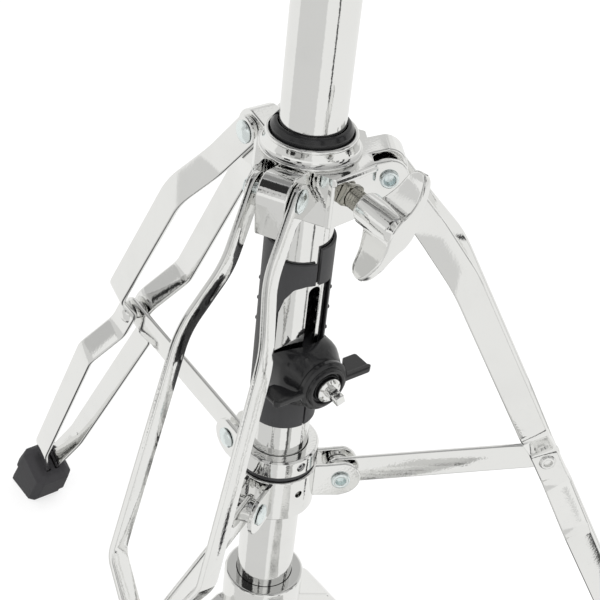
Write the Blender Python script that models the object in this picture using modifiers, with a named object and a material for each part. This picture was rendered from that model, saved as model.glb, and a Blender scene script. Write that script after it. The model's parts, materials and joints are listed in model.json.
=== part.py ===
"""Hi-hat stand with a folding tripod, a pedal and a cymbal clutch.

Lengths below are millimetres; the model is built in metres with +Z up.
The stand's tube is the Z axis, the floor is z = 0 and the pedal points to -Y.
"""

import math

import bmesh
import bpy
from mathutils import Matrix, Vector

MM = 0.001
GAP = 0.3  # between pieces that rest on or in each other
PIN_PLAY = 0.1  # round a pin that turns

# Tubes and rods
TUBE_R = 14.3
TUBE_BORE = 12.7
TUBE_LOW = 112.3
TUBE_TOP = 575.0
UPPER_TUBE_R = 11.1
UPPER_TUBE_BORE = 9.6
UPPER_TUBE_LOW = 396.0
UPPER_TUBE_TOP = 770.0
ROD_R = 3.2
ROD_TOP = 1080.0
ROD_JOINT = 620.0

# Tripod: three legs, each in an upright plane through the tube
LEG_AZIMUTHS = {"back": 90.0, "left": 210.0, "right": 330.0}
BUSH_R = TUBE_R + 3.4
HUB_PIVOT_R = BUSH_R + 14.9
HUB_PIVOT_Z = 395.0
STRIP_WIDTH = 14.2
STRIP_THICK = 2.7
# Radius and height of the first two bends
STRIP_BENDS = ((HUB_PIVOT_R + 21.9, 368.7), (HUB_PIVOT_R + 40.7, 344.9))
LEG_SLOPE = 61.6  # degrees below level, after the second bend
PINCH_AT = 132.5  # distances along the leg from the second bend
FOOT_FROM = 350.0
STRIP_END = 371.0
# Distance along the leg from the second bend, and the outer face's distance from the leg's plane
STRIP_SPREAD = ((99.3, 22.2), (124.3, 6.2), (147.4, 6.2), (171.4, 21.0), (318.0, 14.0), (351.0, 4.6))
HUB_HALF = 11.0  # outer faces of the strips at the hub
SECOND_BEND_HALF = 20.2
LOW_HUB_R = TUBE_R + 5.9
LOW_PIVOT_R = LOW_HUB_R + 11.9
LOW_PIVOT_Z = 218.1
STRUT_WIDTH = 15.5
STRUT_THICK = 2.5
RIVET_R = 2.5
RIVET_HEAD_R = 5.3

# Upper hub
HUB_LOW = 378.0
HUB_TOP = 402.0
HUB_FRONT = BUSH_R / 2 + 19.05  # goes out half as far as the posts on each side of it
BODY_FACE_R = BUSH_R + 2.8
# Corner posts, along and across each leg
HUB_POSTS = {
    "left": (BUSH_R + 3.2, 20.5),
    "right": (BUSH_R + 2.7, 17.0),
    "back": (BUSH_R + 0.3, 15.5),
}
EAR_BEND_R = BUSH_R + 9.7
EAR_THICK = 2.7
LUG_NEAR = 8.0  # beside the ear
LUG_FAR = 5.5  # beside the bare strip
NOSE_R = 9.5
RING_R = BUSH_R + 3.2
RING_TOP = 410.2
BUSH_TOP = 414.0
BUSH_SEAT = 384.0
WING_Z = 393.5
WING_SCREW_R = 4.6
WING_BARREL_FROM = HUB_FRONT + 9.1
WING_TURN = 56.6  # degrees, the wings' long axis from +X

# Lower hub, collar and washer
LOW_HUB_LOW = 203.0
LOW_HUB_TOP = 227.2
WASHER_TOP = 230.0
COLLAR_R = TUBE_R + 5.6
COLLAR_TOP = 240.0
EAR_INNER = 4.8
EAR_OUTER = 7.3

# Slot, sleeve and spring tension clamp
SLOT_WIDTH = 6.2
SLOT_LOW = 264.0
SLOT_TOP = 338.0
SLEEVE_WALL = 1.4
SLEEVE_LOW = 258.8
SLEEVE_TOP = 358.5
STUD_Z = 292.0
STUD_R = 2.7
HUMP = ((8.0, 15.8, 18.6), (17.2, 15.0, 18.0), (20.0, 13.4, 16.2), (23.4, 12.0, 13.4), (26.0, 11.6, 11.6))

# Return spring, on the centre line of its wire
SPRING_R = 8.2
SPRING_WIRE_R = 1.1
SPRING_LOW = 301.4
SPRING_HIGH = 374.6
SPRING_TURNS = 11
SPRING_POINTS = 10  # in one curl

# Base and pedal
BASE_BOSS_R = TUBE_R + 6.2
BASE_BOSS_TOP = 150.0
ARCH_HALF = 62.0
ARCH_INNER = 49.0
HEEL_AXIS_Y = -246.0
HEEL_AXIS_Z = 16.0
HINGE_PIN_R = 2.5
TOE_PIN_Z = 84.0
LINK_PIN_Z = 140.0
BOARD_HALF = 40.0
ROD_X = 31.0
RADIUS_ROD_R = 3.0
RADIUS_ROD_Z = 5.0
SPUR_X = 55.0
SPUR_Y = 26.0

# Height clamp, seat and clutch
CLAMP_LOW = 550.0
CLAMP_TOP = 598.0
SEAT_Z = 776.0
CLUTCH_Z = 940.0

MATERIALS = {
    "chrome": ((0.86, 0.86, 0.85), 1.0, 0.06),
    "zinc": ((0.62, 0.68, 0.72), 1.0, 0.3),
    "nickel": ((0.60, 0.56, 0.50), 1.0, 0.28),
    "steel": ((0.55, 0.55, 0.56), 1.0, 0.35),
    "black_plastic": ((0.045, 0.045, 0.048), 0.0, 0.5),
    "gloss_plastic": ((0.018, 0.018, 0.02), 0.0, 0.2),
    "rubber": ((0.035, 0.035, 0.04), 0.0, 0.75),
    "felt": ((0.75, 0.73, 0.68), 0.0, 0.95),
}


def clear_scene():
    """Empties the start scene and makes the two collections."""
    for obj in list(bpy.data.objects):
        bpy.data.objects.remove(obj)
    made = []
    for name in ("hi_hat_stand", "cutters"):
        collection = bpy.data.collections.new(name)
        bpy.context.scene.collection.children.link(collection)
        made.append(collection)
    made[1].hide_render = True
    return made


def make_materials():
    made = {}
    for name, (colour, metallic, roughness) in MATERIALS.items():
        material = bpy.data.materials.new(name)
        material.use_nodes = True
        shader = material.node_tree.nodes["Principled BSDF"]
        shader.inputs["Base Color"].default_value = (*colour, 1.0)
        shader.inputs["Metallic"].default_value = metallic
        shader.inputs["Roughness"].default_value = roughness
        made[name] = material
    return made


PARTS, CUTTERS = clear_scene()
MATERIAL = make_materials()


def place(point, z_axis, x_axis=(1, 0, 0)):
    """A placement at a point in mm, with its Z along z_axis and its X near x_axis."""
    z = Vector(z_axis).normalized()
    x = Vector(x_axis)
    x = (x - z * x.dot(z)).normalized()
    turn = Matrix((x, z.cross(x), z)).transposed().to_4x4()
    return Matrix.Translation(Vector(point) * MM) @ turn


def front(z):
    """A placement on the tube's axis with Z toward the player and X to the right."""
    return place((0, 0, z), (0, -1, 0), (1, 0, 0))


def sideways(y, z):
    """A placement with Z to the right and X toward the toe, for the pedal's pins and side plates."""
    return place((0, y, z), (1, 0, 0), (0, 1, 0))


def leg_axes(azimuth):
    """The outward and the sideways direction of a leg."""
    a = math.radians(azimuth)
    return Vector((math.cos(a), math.sin(a), 0)), Vector((-math.sin(a), math.cos(a), 0))


def leg_place(azimuth):
    """A placement with X outward along the leg, Y up and Z against the leg's side direction."""
    out, across = leg_axes(azimuth)
    return place((0, 0, 0), -across, out)


def across_leg(azimuth, r, z):
    """A placement at a radius and height of a leg's plane with Z along the leg's side direction."""
    out, across = leg_axes(azimuth)
    return place(out * r + Vector((0, 0, z)), across, out)


def link_up(name, data, material):
    """An object in the parts where it has a material, or else among the cutters."""
    obj = bpy.data.objects.new(name, data)
    if material:
        data.materials.append(MATERIAL[material])
        PARTS.objects.link(obj)
    else:
        CUTTERS.objects.link(obj)
        obj.hide_render = True
        obj.display_type = "WIRE"
    return obj


def add(name, bm, material, placement, smooth=False):
    """Turns a bmesh into an object, its shape moved to the placement."""
    bmesh.ops.recalc_face_normals(bm, faces=bm.faces)
    bmesh.ops.transform(bm, matrix=placement, verts=bm.verts)
    mesh = bpy.data.meshes.new(name)
    bm.to_mesh(mesh)
    bm.free()
    if smooth:
        mesh.shade_smooth()
    return link_up(name, mesh, material)


def turned(name, profile, steps, material=None, placement=Matrix()):
    """Screws a profile of (radius, height) points round the placement's Z; off the axis it is a ring."""
    doubled_area = sum(a[0] * b[1] - b[0] * a[1] for a, b in zip(profile, [*profile[1:], profile[0]]))
    line = profile if doubled_area < 0 else profile[::-1]
    bm = bmesh.new()
    points = [bm.verts.new((r * MM, 0, z * MM)) for r, z in line]
    for pair in zip(points, points[1:]):
        bm.edges.new(pair)
    if line[0][0] > 0:
        bm.edges.new((points[-1], points[0]))
    obj = add(name, bm, material, Matrix())
    obj.matrix_world = placement
    screw = obj.modifiers.new("turn", "SCREW")
    screw.steps = steps
    screw.render_steps = steps
    screw.use_merge_vertices = True
    screw.merge_threshold = 1e-6
    return obj


def rod(name, radius, low, high, steps, material=None, placement=Matrix()):
    """A plain cylinder along the placement's Z."""
    bm = bmesh.new()
    middle = Matrix.Translation((0, 0, (low + high) / 2 * MM)) @ Matrix.Rotation(-math.pi / 2, 4, "Z")
    bmesh.ops.create_cone(
        bm,
        cap_ends=True,
        segments=steps,
        radius1=radius * MM,
        radius2=radius * MM,
        depth=(high - low) * MM,
        matrix=middle,
    )
    return add(name, bm, material, placement, smooth=True)


def plate(name, outline, low, high, material=None, placement=Matrix(), holes=()):
    """A flat piece between two heights of the placement's Z, drawn as a filled curve with its holes."""
    curve = bpy.data.curves.new(name, "CURVE")
    curve.dimensions = "2D"
    curve.fill_mode = "BOTH"
    curve.extrude = (high - low) / 2 * MM
    for loop in (outline, *holes):
        spline = curve.splines.new("POLY")
        spline.points.add(len(loop) - 1)
        spline.use_cyclic_u = True
        for point, (x, y) in zip(spline.points, loop):
            point.co = (x * MM, y * MM, 0, 1)
    drawn = bpy.data.objects.new(name, curve)
    mesh = bpy.data.meshes.new_from_object(drawn)
    bpy.data.objects.remove(drawn)
    bm = bmesh.new()
    bm.from_mesh(mesh)
    bpy.data.meshes.remove(mesh)
    bmesh.ops.remove_doubles(bm, verts=bm.verts, dist=1e-6)
    bmesh.ops.translate(bm, vec=(0, 0, (low + high) / 2 * MM), verts=bm.verts)
    return add(name, bm, material, placement)


def block(name, low, high, material=None, placement=Matrix()):
    """A box between two corners."""
    bm = bmesh.new()
    bmesh.ops.create_cube(bm, size=MM)
    bmesh.ops.scale(bm, vec=Vector(high) - Vector(low), verts=bm.verts)
    bmesh.ops.translate(bm, vec=(Vector(high) + Vector(low)) / 2 * MM, verts=bm.verts)
    return add(name, bm, material, placement)


def loft(name, sections, material=None, placement=Matrix()):
    """A skin over sections that have the same number of points, closed by its first and last."""
    bm = bmesh.new()
    rings = [[bm.verts.new(Vector(p) * MM) for p in section] for section in sections]
    count = len(rings[0])
    for lower, upper in zip(rings, rings[1:]):
        for i in range(count):
            j = (i + 1) % count
            bm.faces.new((lower[i], lower[j], upper[j], upper[i]))
    bm.faces.new(rings[0])
    bm.faces.new(rings[-1])
    return add(name, bm, material, placement)


def wire(name, path, radius, material):
    """A round wire along a path of points: a curve with a bevel and closed ends."""
    curve = bpy.data.curves.new(name, "CURVE")
    curve.dimensions = "3D"
    curve.fill_mode = "FULL"
    curve.bevel_depth = radius * MM
    curve.bevel_resolution = 1
    curve.use_fill_caps = True
    spline = curve.splines.new("POLY")
    spline.points.add(len(path) - 1)
    for point, where in zip(spline.points, path):
        point.co = (*(Vector(where) * MM), 1)
    return link_up(name, curve, material)


def least_gap(path, radius, apart):
    """The least distance in mm between a wire's surface and itself, for points some places apart."""
    points = [Vector(p) for p in path]
    pairs = ((a, b) for i, a in enumerate(points) for b in points[i + apart :])
    return min((a - b).length for a, b in pairs) - 2 * radius


def combine(obj, other, operation):
    other_was_part = other.name in PARTS.objects
    if other_was_part:
        PARTS.objects.unlink(other)
        CUTTERS.objects.link(other)
    modifier = obj.modifiers.new(operation.lower(), "BOOLEAN")
    modifier.operation = operation
    modifier.solver = "EXACT"
    modifier.object = other


def cut(obj, *cutters):
    for cutter in cutters:
        combine(obj, cutter, "DIFFERENCE")


def fuse(obj, *others):
    for other in others:
        combine(obj, other, "UNION")


def set_pivot(obj, point):
    """Moves an object's origin to a point in mm without moving its shape."""
    shift = obj.matrix_world.inverted() @ (Vector(point) * MM)
    obj.data.transform(Matrix.Translation(-shift))
    obj.matrix_world = obj.matrix_world @ Matrix.Translation(shift)


def arc(centre, radius, start, end, count):
    """Points on an arc, angles in degrees."""
    found = []
    for i in range(count):
        a = math.radians(start + (end - start) * i / (count - 1))
        found.append((centre[0] + radius * math.cos(a), centre[1] + radius * math.sin(a)))
    return found


def circle(centre, radius, count=16):
    return arc(centre, radius, 0, 360 * (count - 1) / count, count)


def ring_profile(inner, outer, low, high, chamfer=0.0):
    """The section of a ring, with chamfered outer corners."""
    if not chamfer:
        return [(outer, high), (outer, low), (inner, low), (inner, high)]
    return [
        (outer - chamfer, high),
        (outer, high - chamfer),
        (outer, low + chamfer),
        (outer - chamfer, low),
        (inner, low),
        (inner, high),
    ]


def rod_profile(radius, low, high, chamfer):
    """The section of a solid rod with chamfered ends."""
    return [
        (0, high),
        (radius - chamfer, high),
        (radius, high - chamfer),
        (radius, low + chamfer),
        (radius - chamfer, low),
        (0, low),
    ]


def sector(name, inner, outer, start, end, low, high, count=9, material=None):
    """A piece of a ring between two azimuths."""
    outline = arc((0, 0), outer, start, end, count) + arc((0, 0), inner, end, start, count)
    return plate(name, outline, low, high, material)


# Tubes


def make_lower_tube():
    tube = turned("lower_tube", ring_profile(TUBE_BORE, TUBE_R, TUBE_LOW, TUBE_TOP), 36, "chrome")
    half = SLOT_WIDTH / 2
    outline = arc((0, SLOT_TOP - half), half, 0, 180, 7) + arc((0, SLOT_LOW + half), half, 180, 360, 7)
    cut(tube, plate("slot_cutter", outline, 4, 20, None, front(0)))
    return tube


def make_upper_tube():
    return turned(
        "upper_tube",
        ring_profile(UPPER_TUBE_BORE, UPPER_TUBE_R, UPPER_TUBE_LOW, UPPER_TUBE_TOP),
        28,
        "chrome",
    )


# Tripod


def leg_point(distance):
    """Radius and height on a leg's centre line, at a distance past the second bend."""
    a = math.radians(LEG_SLOPE)
    r, z = STRIP_BENDS[1]
    return r + distance * math.cos(a), z - distance * math.sin(a)


def strip_stations():
    """Centre points (radius, height), the outer face's offset and the half width along a strip."""
    pivot = Vector((HUB_PIVOT_R, HUB_PIVOT_Z))
    first = Vector(STRIP_BENDS[0])
    back = (pivot - first).normalized()
    half = STRIP_WIDTH / 2
    stations = []
    for a in (80, 55, 28, 0):
        turn = math.radians(a)
        stations.append((pivot + back * half * math.sin(turn), HUB_HALF, half * math.cos(turn)))
    stations.append((first, HUB_HALF, half))
    stations.append((Vector(STRIP_BENDS[1]), SECOND_BEND_HALF, half))
    for distance, side in STRIP_SPREAD:
        stations.append((Vector(leg_point(distance)), side, half))
    stations.append((Vector(leg_point(STRIP_END)), STRIP_SPREAD[-1][1], half))
    return stations


def mitre_offset(points, distance):
    """Points of an open 2D line moved to its right by a distance, with mitred corners."""
    moved = []
    for i, point in enumerate(points):
        behind = point - points[i - 1] if i else points[1] - point
        ahead = points[i + 1] - point if i + 1 < len(points) else behind
        one = behind.normalized()
        two = ahead.normalized()
        n1 = Vector((one.y, -one.x))
        n2 = Vector((two.y, -two.x))
        middle = (n1 + n2).normalized()
        moved.append(point + middle * distance / middle.dot(n1))
    return moved


def make_strip(name, azimuth, side):
    """One bent flat strip of a leg. side is +1 or -1 along the leg's side direction."""
    stations = strip_stations()
    run = [0.0]
    for before, after in zip(stations, stations[1:]):
        run.append(run[-1] + (after[0] - before[0]).length)
    outer = [Vector((s, station[1])) for s, station in zip(run, stations)]
    inner = mitre_offset(outer, STRIP_THICK)
    out, across = leg_axes(azimuth)
    sections = []
    for i, (centre, _, half) in enumerate(stations):
        before = stations[max(i - 1, 0)][0]
        after = stations[min(i + 1, len(stations) - 1)][0]
        along = (after - before).normalized()
        if 0 < i < len(stations) - 1:
            one = (centre - before).normalized()
            two = (after - centre).normalized()
            along = (one + two).normalized()
        normal = Vector((-along.y, along.x))
        ring = []
        for edge, line in ((1, outer), (-1, outer), (-1, inner), (1, inner)):
            shift = line[i].x - run[i]
            r, z = centre + along * shift + normal * edge * half
            ring.append(out * r + Vector((0, 0, z)) + across * side * line[i].y)
        sections.append(ring)
    strip = loft(name, sections, "chrome")
    pivot = across_leg(azimuth, HUB_PIVOT_R, HUB_PIVOT_Z)
    cut(strip, rod(name + "_hole", RIVET_R + PIN_PLAY, -25, 25, 12, None, pivot))
    r, z = leg_point(PINCH_AT)
    tip = STRUT_THICK / 2 + GAP
    face = STRIP_SPREAD[1][1]
    profile = [(0, face + 2.2), (3.6, face + 1.6), (RIVET_HEAD_R, face - 0.2), (4.6, face - 1.2)]
    profile += [(4.6, tip), (0, tip)]
    pin = turned(name + "_pin", profile, 12, None, place(out * r + Vector((0, 0, z)), across * side, out))
    fuse(strip, pin)
    set_pivot(strip, out * HUB_PIVOT_R + Vector((0, 0, HUB_PIVOT_Z)))
    return strip


def make_rivet(name, placement, head_at, ring_at):
    """A rivet along the placement's Z: a domed head on the + side and a rolled ring on the - side."""
    profile = [
        (0, head_at + 2.2),
        (3.6, head_at + 1.6),
        (RIVET_HEAD_R, head_at),
        (RIVET_R, head_at),
        (RIVET_R, -ring_at),
        (4.9, -ring_at),
        (4.2, -ring_at - 1.4),
        (0, -ring_at - 1.4),
    ]
    return turned(name, profile, 12, "zinc", placement)


def make_strut(name, azimuth):
    """The flat link between the lower hub and the pinch of a leg."""
    end_r, end_z = leg_point(PINCH_AT)
    rise = math.degrees(math.atan2(end_z - LOW_PIVOT_Z, end_r - LOW_PIVOT_R))
    half = STRUT_WIDTH / 2
    outline = arc((end_r, end_z), half, rise - 90, rise + 90, 7)
    outline += arc((LOW_PIVOT_R, LOW_PIVOT_Z), half, rise + 90, rise + 270, 7)
    strut = plate(name, outline, -STRUT_THICK / 2, STRUT_THICK / 2, "chrome", leg_place(azimuth))
    pivot = across_leg(azimuth, LOW_PIVOT_R, LOW_PIVOT_Z)
    boss_half = EAR_INNER - GAP
    fuse(strut, rod(name + "_boss", 6.0, -boss_half, boss_half, 12, None, pivot))
    cut(strut, rod(name + "_hole", RIVET_R + PIN_PLAY, -12, 12, 12, None, pivot))
    set_pivot(strut, pivot.translation / MM)
    return strut


def make_foot(name, azimuth):
    """A faceted rubber foot on the end of a leg, flat on the floor."""
    out, across = leg_axes(azimuth)
    a = math.radians(LEG_SLOPE)
    along = out * math.cos(a) - Vector((0, 0, math.sin(a)))
    normal = out * math.sin(a) + Vector((0, 0, math.cos(a)))

    def section(distance, half_t, half_n, chamfer, floor=False):
        r, z = leg_point(distance)
        centre = out * r + Vector((0, 0, z))
        corners = []
        for t, n in (
            (half_t - chamfer, half_n),
            (-half_t + chamfer, half_n),
            (-half_t, half_n - chamfer),
            (-half_t, -half_n + chamfer),
            (-half_t + chamfer, -half_n),
            (half_t - chamfer, -half_n),
            (half_t, -half_n + chamfer),
            (half_t, half_n - chamfer),
        ):
            point = centre + across * t + normal * n
            if floor:
                point = point + along * (point.z / math.sin(a))
            corners.append(point)
        return corners

    sections = [
        section(FOOT_FROM, 9.5, 11.5, 2.5),
        section(FOOT_FROM + 5, 13.0, 14.5, 4.0),
        section(FOOT_FROM + 24, 13.5, 15.5, 4.0),
        section(FOOT_FROM + 24, 12.0, 13.5, 3.0, True),
    ]
    foot = loft(name, sections, "rubber")
    for sign in (1, -1):
        outer = STRIP_SPREAD[-1][1] + GAP
        inner = STRIP_SPREAD[-1][1] - STRIP_THICK - GAP
        width = STRIP_WIDTH / 2 + GAP
        r, z = leg_point(FOOT_FROM - 4)
        pocket = block(
            name + "_pocket",
            (-width, min(sign * inner, sign * outer), 0),
            (width, max(sign * inner, sign * outer), STRIP_END + GAP - FOOT_FROM + 4),
            None,
            place(out * r + Vector((0, 0, z)), along, normal),
        )
        cut(foot, pocket)
    set_pivot(foot, out * HUB_PIVOT_R + Vector((0, 0, HUB_PIVOT_Z)))
    return foot


def hub_outline(grow, web_leg=None):
    """The upper hub seen from above: a corner post, a side and an ear root for each leg."""
    points = []
    side = HUB_HALF + GAP
    for name in ("left", "right", "back"):
        out, across = leg_axes(LEG_AZIMUTHS[name])
        face = BODY_FACE_R
        post_r, post_t = HUB_POSTS[name]
        root = (EAR_BEND_R + grow, -side - EAR_THICK + 0.5 - grow)
        corners = [root, (EAR_BEND_R - 1.0, -side - 0.7), (face, -side - 0.7)]
        if name == web_leg:
            corners = [root, (face + 5.0, -side - 0.7), (face + 5.0, 14.0), (face + 1.0, post_t - 1.0)]
        corners += [(face, post_t - 3.0), (post_r, post_t - 1.2), (post_r - 0.6 + grow, post_t + grow)]
        for r, t in corners:
            point = out * r + across * t
            points.append((point.x, point.y))
    return points


def make_upper_hub():
    hub = plate("upper_hub", hub_outline(0), HUB_LOW, HUB_TOP - 2.0, "chrome")
    fuse(hub, plate("hub_top_plate", hub_outline(0.7, "right"), HUB_TOP - 2.2, HUB_TOP))
    ring = [
        (BUSH_R + 1.1, RING_TOP),
        (BUSH_R + 2.0, RING_TOP - 1.0),
        (BUSH_R + 2.2, RING_TOP - 3.0),
        (RING_R, HUB_TOP + 1.6),
        (RING_R + 1.4, HUB_TOP - 0.5),
        (BUSH_R - 0.7, HUB_TOP - 0.5),
        (BUSH_R - 0.7, RING_TOP),
    ]
    fuse(hub, turned("hub_ring", ring, 32))
    for leg, azimuth in LEG_AZIMUTHS.items():
        lug_front = arc((HUB_PIVOT_R, HUB_PIVOT_Z), NOSE_R, -8, 90, 7)
        lug = [(BUSH_R - 1.7, HUB_LOW + 0.4), (HUB_PIVOT_R + NOSE_R - 2.2, HUB_LOW + 0.4), *lug_front]
        lug += [(BUSH_R + 1.3, HUB_PIVOT_Z + NOSE_R - 3.6)]
        fuse(hub, plate(leg + "_lug", lug, -LUG_FAR, LUG_NEAR, None, leg_place(azimuth)))
        ear = [(EAR_BEND_R - 4, HUB_LOW + 0.5), (HUB_PIVOT_R - 1, HUB_LOW + 0.5)]
        ear += arc((HUB_PIVOT_R, HUB_PIVOT_Z), 8.6, -50, 90, 6)
        ear += [(EAR_BEND_R - 4, HUB_PIVOT_Z + 6.4)]
        side = HUB_HALF + GAP
        fuse(hub, plate(leg + "_ear", ear, side, side + EAR_THICK, None, leg_place(azimuth)))
    seat = BUSH_R + GAP
    wide = TUBE_R + 2 * GAP
    bore = [(wide, HUB_LOW - 2), (wide, BUSH_SEAT), (seat, BUSH_SEAT), (seat, BUSH_TOP), (0, BUSH_TOP)]
    cut(hub, turned("hub_bore", [(0, HUB_LOW - 2), *bore], 32))
    cut(hub, rod("wing_hole", WING_SCREW_R + GAP, BUSH_R - 1.7, HUB_FRONT + 12, 16, None, front(WING_Z)))
    for leg, azimuth in LEG_AZIMUTHS.items():
        pivot = across_leg(azimuth, HUB_PIVOT_R, HUB_PIVOT_Z)
        cut(hub, rod(leg + "_hub_hole", RIVET_R + GAP, -20, 12, 12, None, pivot))
    return hub


def make_hub_bush():
    inner = TUBE_R + GAP
    profile = [
        (inner + 0.6, BUSH_TOP),
        (BUSH_R - 1.6, BUSH_TOP - 0.8),
        (BUSH_R - 0.4, BUSH_TOP - 2.2),
        (BUSH_R, BUSH_TOP - 3.6),
        (BUSH_R, BUSH_SEAT + GAP),
        (inner, BUSH_SEAT + GAP),
        (inner, BUSH_TOP - 0.6),
    ]
    bush = turned("hub_bush", profile, 32, "gloss_plastic")
    cut(bush, sector("bush_slit", 12, 20, 126, 134, 380, 415, 3))
    return bush


# One wing from its middle to its tip: distance out, half thickness of the web and of the rim,
# how far in from the near and far edge the rim ends, near and far edge past the barrel's start
WING_SECTIONS = (
    (0.0, 4.6, 6.2, 3.2, 7.0, 27.2),
    (7.0, 3.9, 4.3, 3.0, 8.2, 26.8),
    (9.5, 2.4, 3.5, 2.8, 9.4, 26.5),
    (14.0, 1.7, 3.0, 2.6, 11.3, 25.7),
    (19.0, 1.6, 2.8, 2.2, 12.4, 24.5),
    (23.2, 1.6, 2.6, 1.6, 14.0, 22.8),
    (24.8, 1.3, 1.9, 1.0, 16.6, 20.8),
)


def wings(name, start, scale, placement):
    """Both wings in one piece, a thin web between rims, its long axis along X."""
    sides = [(-out, *rest) for out, *rest in reversed(WING_SECTIONS[1:])] + list(WING_SECTIONS)
    sections = []
    for out, web, rim, deep, near, far in sides:
        half = (
            (-rim, far),
            (-rim, far - deep * 0.6),
            (-web, far - deep),
            (-web, near + deep),
            (-rim, near + deep * 0.6),
            (-rim, near),
        )
        ring = [*half, *((-y, z) for y, z in reversed(half))]
        sections.append([(out * scale, y * scale, start + z * scale) for y, z in ring])
    return loft(name, sections, None, placement)


def make_wing_screw(name, tip, screw_r, start, scale, placement, turn, material="chrome"):
    """A screw along the placement's Z with a barrel from start on and two wings on the barrel's end."""
    radius = 7.3 * scale
    end = start + 26.2 * scale
    near = start + 1.0
    profile = [
        (0, end),
        (radius - 2.2, end),
        (radius, end - 3.0),
        (radius, near + 2.6),
        (radius - 2.0, near),
        (screw_r, near),
        (screw_r, tip + 0.8),
        (screw_r - 0.8, tip),
        (0, tip),
    ]
    screw = turned(name, profile, 20, material, placement)
    spin = Matrix.Rotation(math.radians(turn), 4, "Z")
    fuse(screw, wings(name + "_wings", start, scale, placement @ spin))
    return screw


def make_square_nut():
    low = HUB_FRONT + GAP
    nut = block("square_nut", (-5.0, -5.4, low), (5.0, 5.4, low + 3.1), "nickel", front(WING_Z))
    cut(nut, rod("square_nut_bore", WING_SCREW_R + GAP, low - 5, low + 12, 16, None, front(WING_Z)))
    return nut


def make_lower_hub():
    bore = TUBE_R + GAP
    hub = turned("lower_hub", ring_profile(bore, LOW_HUB_R, LOW_HUB_LOW, LOW_HUB_TOP, 1.0), 28, "chrome")
    for leg, azimuth in LEG_AZIMUTHS.items():
        root = LOW_HUB_R - 3.7
        outline = [(root, 207.6), (LOW_PIVOT_R, 207.6)]
        outline += arc((LOW_PIVOT_R, LOW_PIVOT_Z), 10.0, -70, 80, 6)
        outline += [(LOW_HUB_R + 3.8, LOW_HUB_TOP - 0.4), (root, LOW_HUB_TOP - 0.4)]
        for sign in (1, -1):
            low, high = sorted((sign * EAR_INNER, sign * EAR_OUTER))
            fuse(hub, plate(f"{leg}_clevis_{sign}", outline, low, high, None, leg_place(azimuth)))
    for leg, azimuth in LEG_AZIMUTHS.items():
        pivot = across_leg(azimuth, LOW_PIVOT_R, LOW_PIVOT_Z)
        cut(hub, rod(leg + "_clevis_hole", RIVET_R + GAP, -12, 12, 12, None, pivot))
    set_pivot(hub, (0, 0, LOW_HUB_LOW))
    return hub


def make_collar():
    bore = TUBE_R + GAP
    profile = ring_profile(bore, COLLAR_R, WASHER_TOP + GAP, COLLAR_TOP, 0.8)
    collar = turned("lower_collar", profile, 32, "chrome")
    cut(collar, rod("grub_hole", 2.3, 12, COLLAR_R + 4, 12, None, front(235.3)))
    washer = ring_profile(bore, LOW_HUB_R - 1.2, LOW_HUB_TOP + GAP, WASHER_TOP)
    turned("black_washer", washer, 28, "black_plastic")
    grub = rod("grub_screw", 2.0, TUBE_R + GAP, COLLAR_R - 0.7, 12, "steel", front(235.3))
    cut(grub, rod("grub_socket", 1.0, COLLAR_R - 2.4, COLLAR_R + 1, 6, None, front(235.3)))
    return collar


# Spring tension: sleeve, clamp, wing nut, stud, carrier and spring


def make_sleeve():
    inner = TUBE_R + GAP
    outer = inner + SLEEVE_WALL
    sleeve = turned("tube_sleeve", ring_profile(inner, outer, SLEEVE_LOW, SLEEVE_TOP), 40, "black_plastic")
    cut(sleeve, sector("sleeve_window", 12, 20, -150, -75, 275, 336, 9))
    cut(sleeve, sector("sleeve_low_slit", 12, 20, -87, -70, 250, 277, 4))
    cut(sleeve, sector("sleeve_top_slit", 12, 20, -95, -88, 335, 370, 3))
    cut(sleeve, sector("sleeve_step", 12, 20, -170, -91, 351, 370, 9))
    return sleeve


def oval(half_x, half_y, sides=20):
    """Points of a flattened circle."""
    turns = (2 * math.pi * i / sides for i in range(sides))
    return [(half_x * math.cos(a), half_y * math.sin(a)) for a in turns]


def make_tension_clamp():
    """A band over the sleeve that swells into a hump with a round boss for the wing nut."""
    reach = TUBE_R + GAP + SLEEVE_WALL + GAP
    clamp = sector("tension_clamp", reach, reach + 3.0, -152, -28, 271, 311, 12, "gloss_plastic")
    sections = []
    for depth, half_x, half_y in HUMP:
        sections.append([(x, y, depth) for x, y in oval(half_x, half_y)])
    fuse(clamp, loft("tension_hump", sections, None, front(STUD_Z)))
    cut(clamp, rod("tension_bore", reach, 240, 345, 36))
    cut(clamp, rod("tension_stud_hole", STUD_R + GAP, 4, 40, 16, None, front(STUD_Z)))
    set_pivot(clamp, (0, 0, STUD_Z))
    return clamp


def make_tension_nut():
    profile = [
        (4.2, 30.2),
        (6.5, 30.6),
        (6.9, 29.3),
        (8.0, 31.2),
        (9.8, 31.2),
        (10.4, 29.8),
        (11.9, 29.7),
        (12.8, 28.8),
        (12.8, 26.0 + GAP),
        (STUD_R + PIN_PLAY, 26.0 + GAP),
        (STUD_R + PIN_PLAY, 30.2),
    ]
    nut = turned("tension_wing_nut", profile, 20, "gloss_plastic", front(STUD_Z))
    paddle = [(9.5, -2.6), (23.4, -1.3), (25.1, 0.6), (25.0, 5.6), (16.2, 14.8)]
    paddle += [(12.6, 16.4), (6.0, 12.0), (4.6, 8.0)]
    for sign in (1, -1):
        outline = [(sign * x, sign * y) for x, y in paddle]
        fuse(nut, plate(f"tension_paddle_{sign}", outline, 27.2, 30.2 + 0.05 * sign, None, front(STUD_Z)))
    set_pivot(nut, (0, -26.0, STUD_Z))
    return nut


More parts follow.
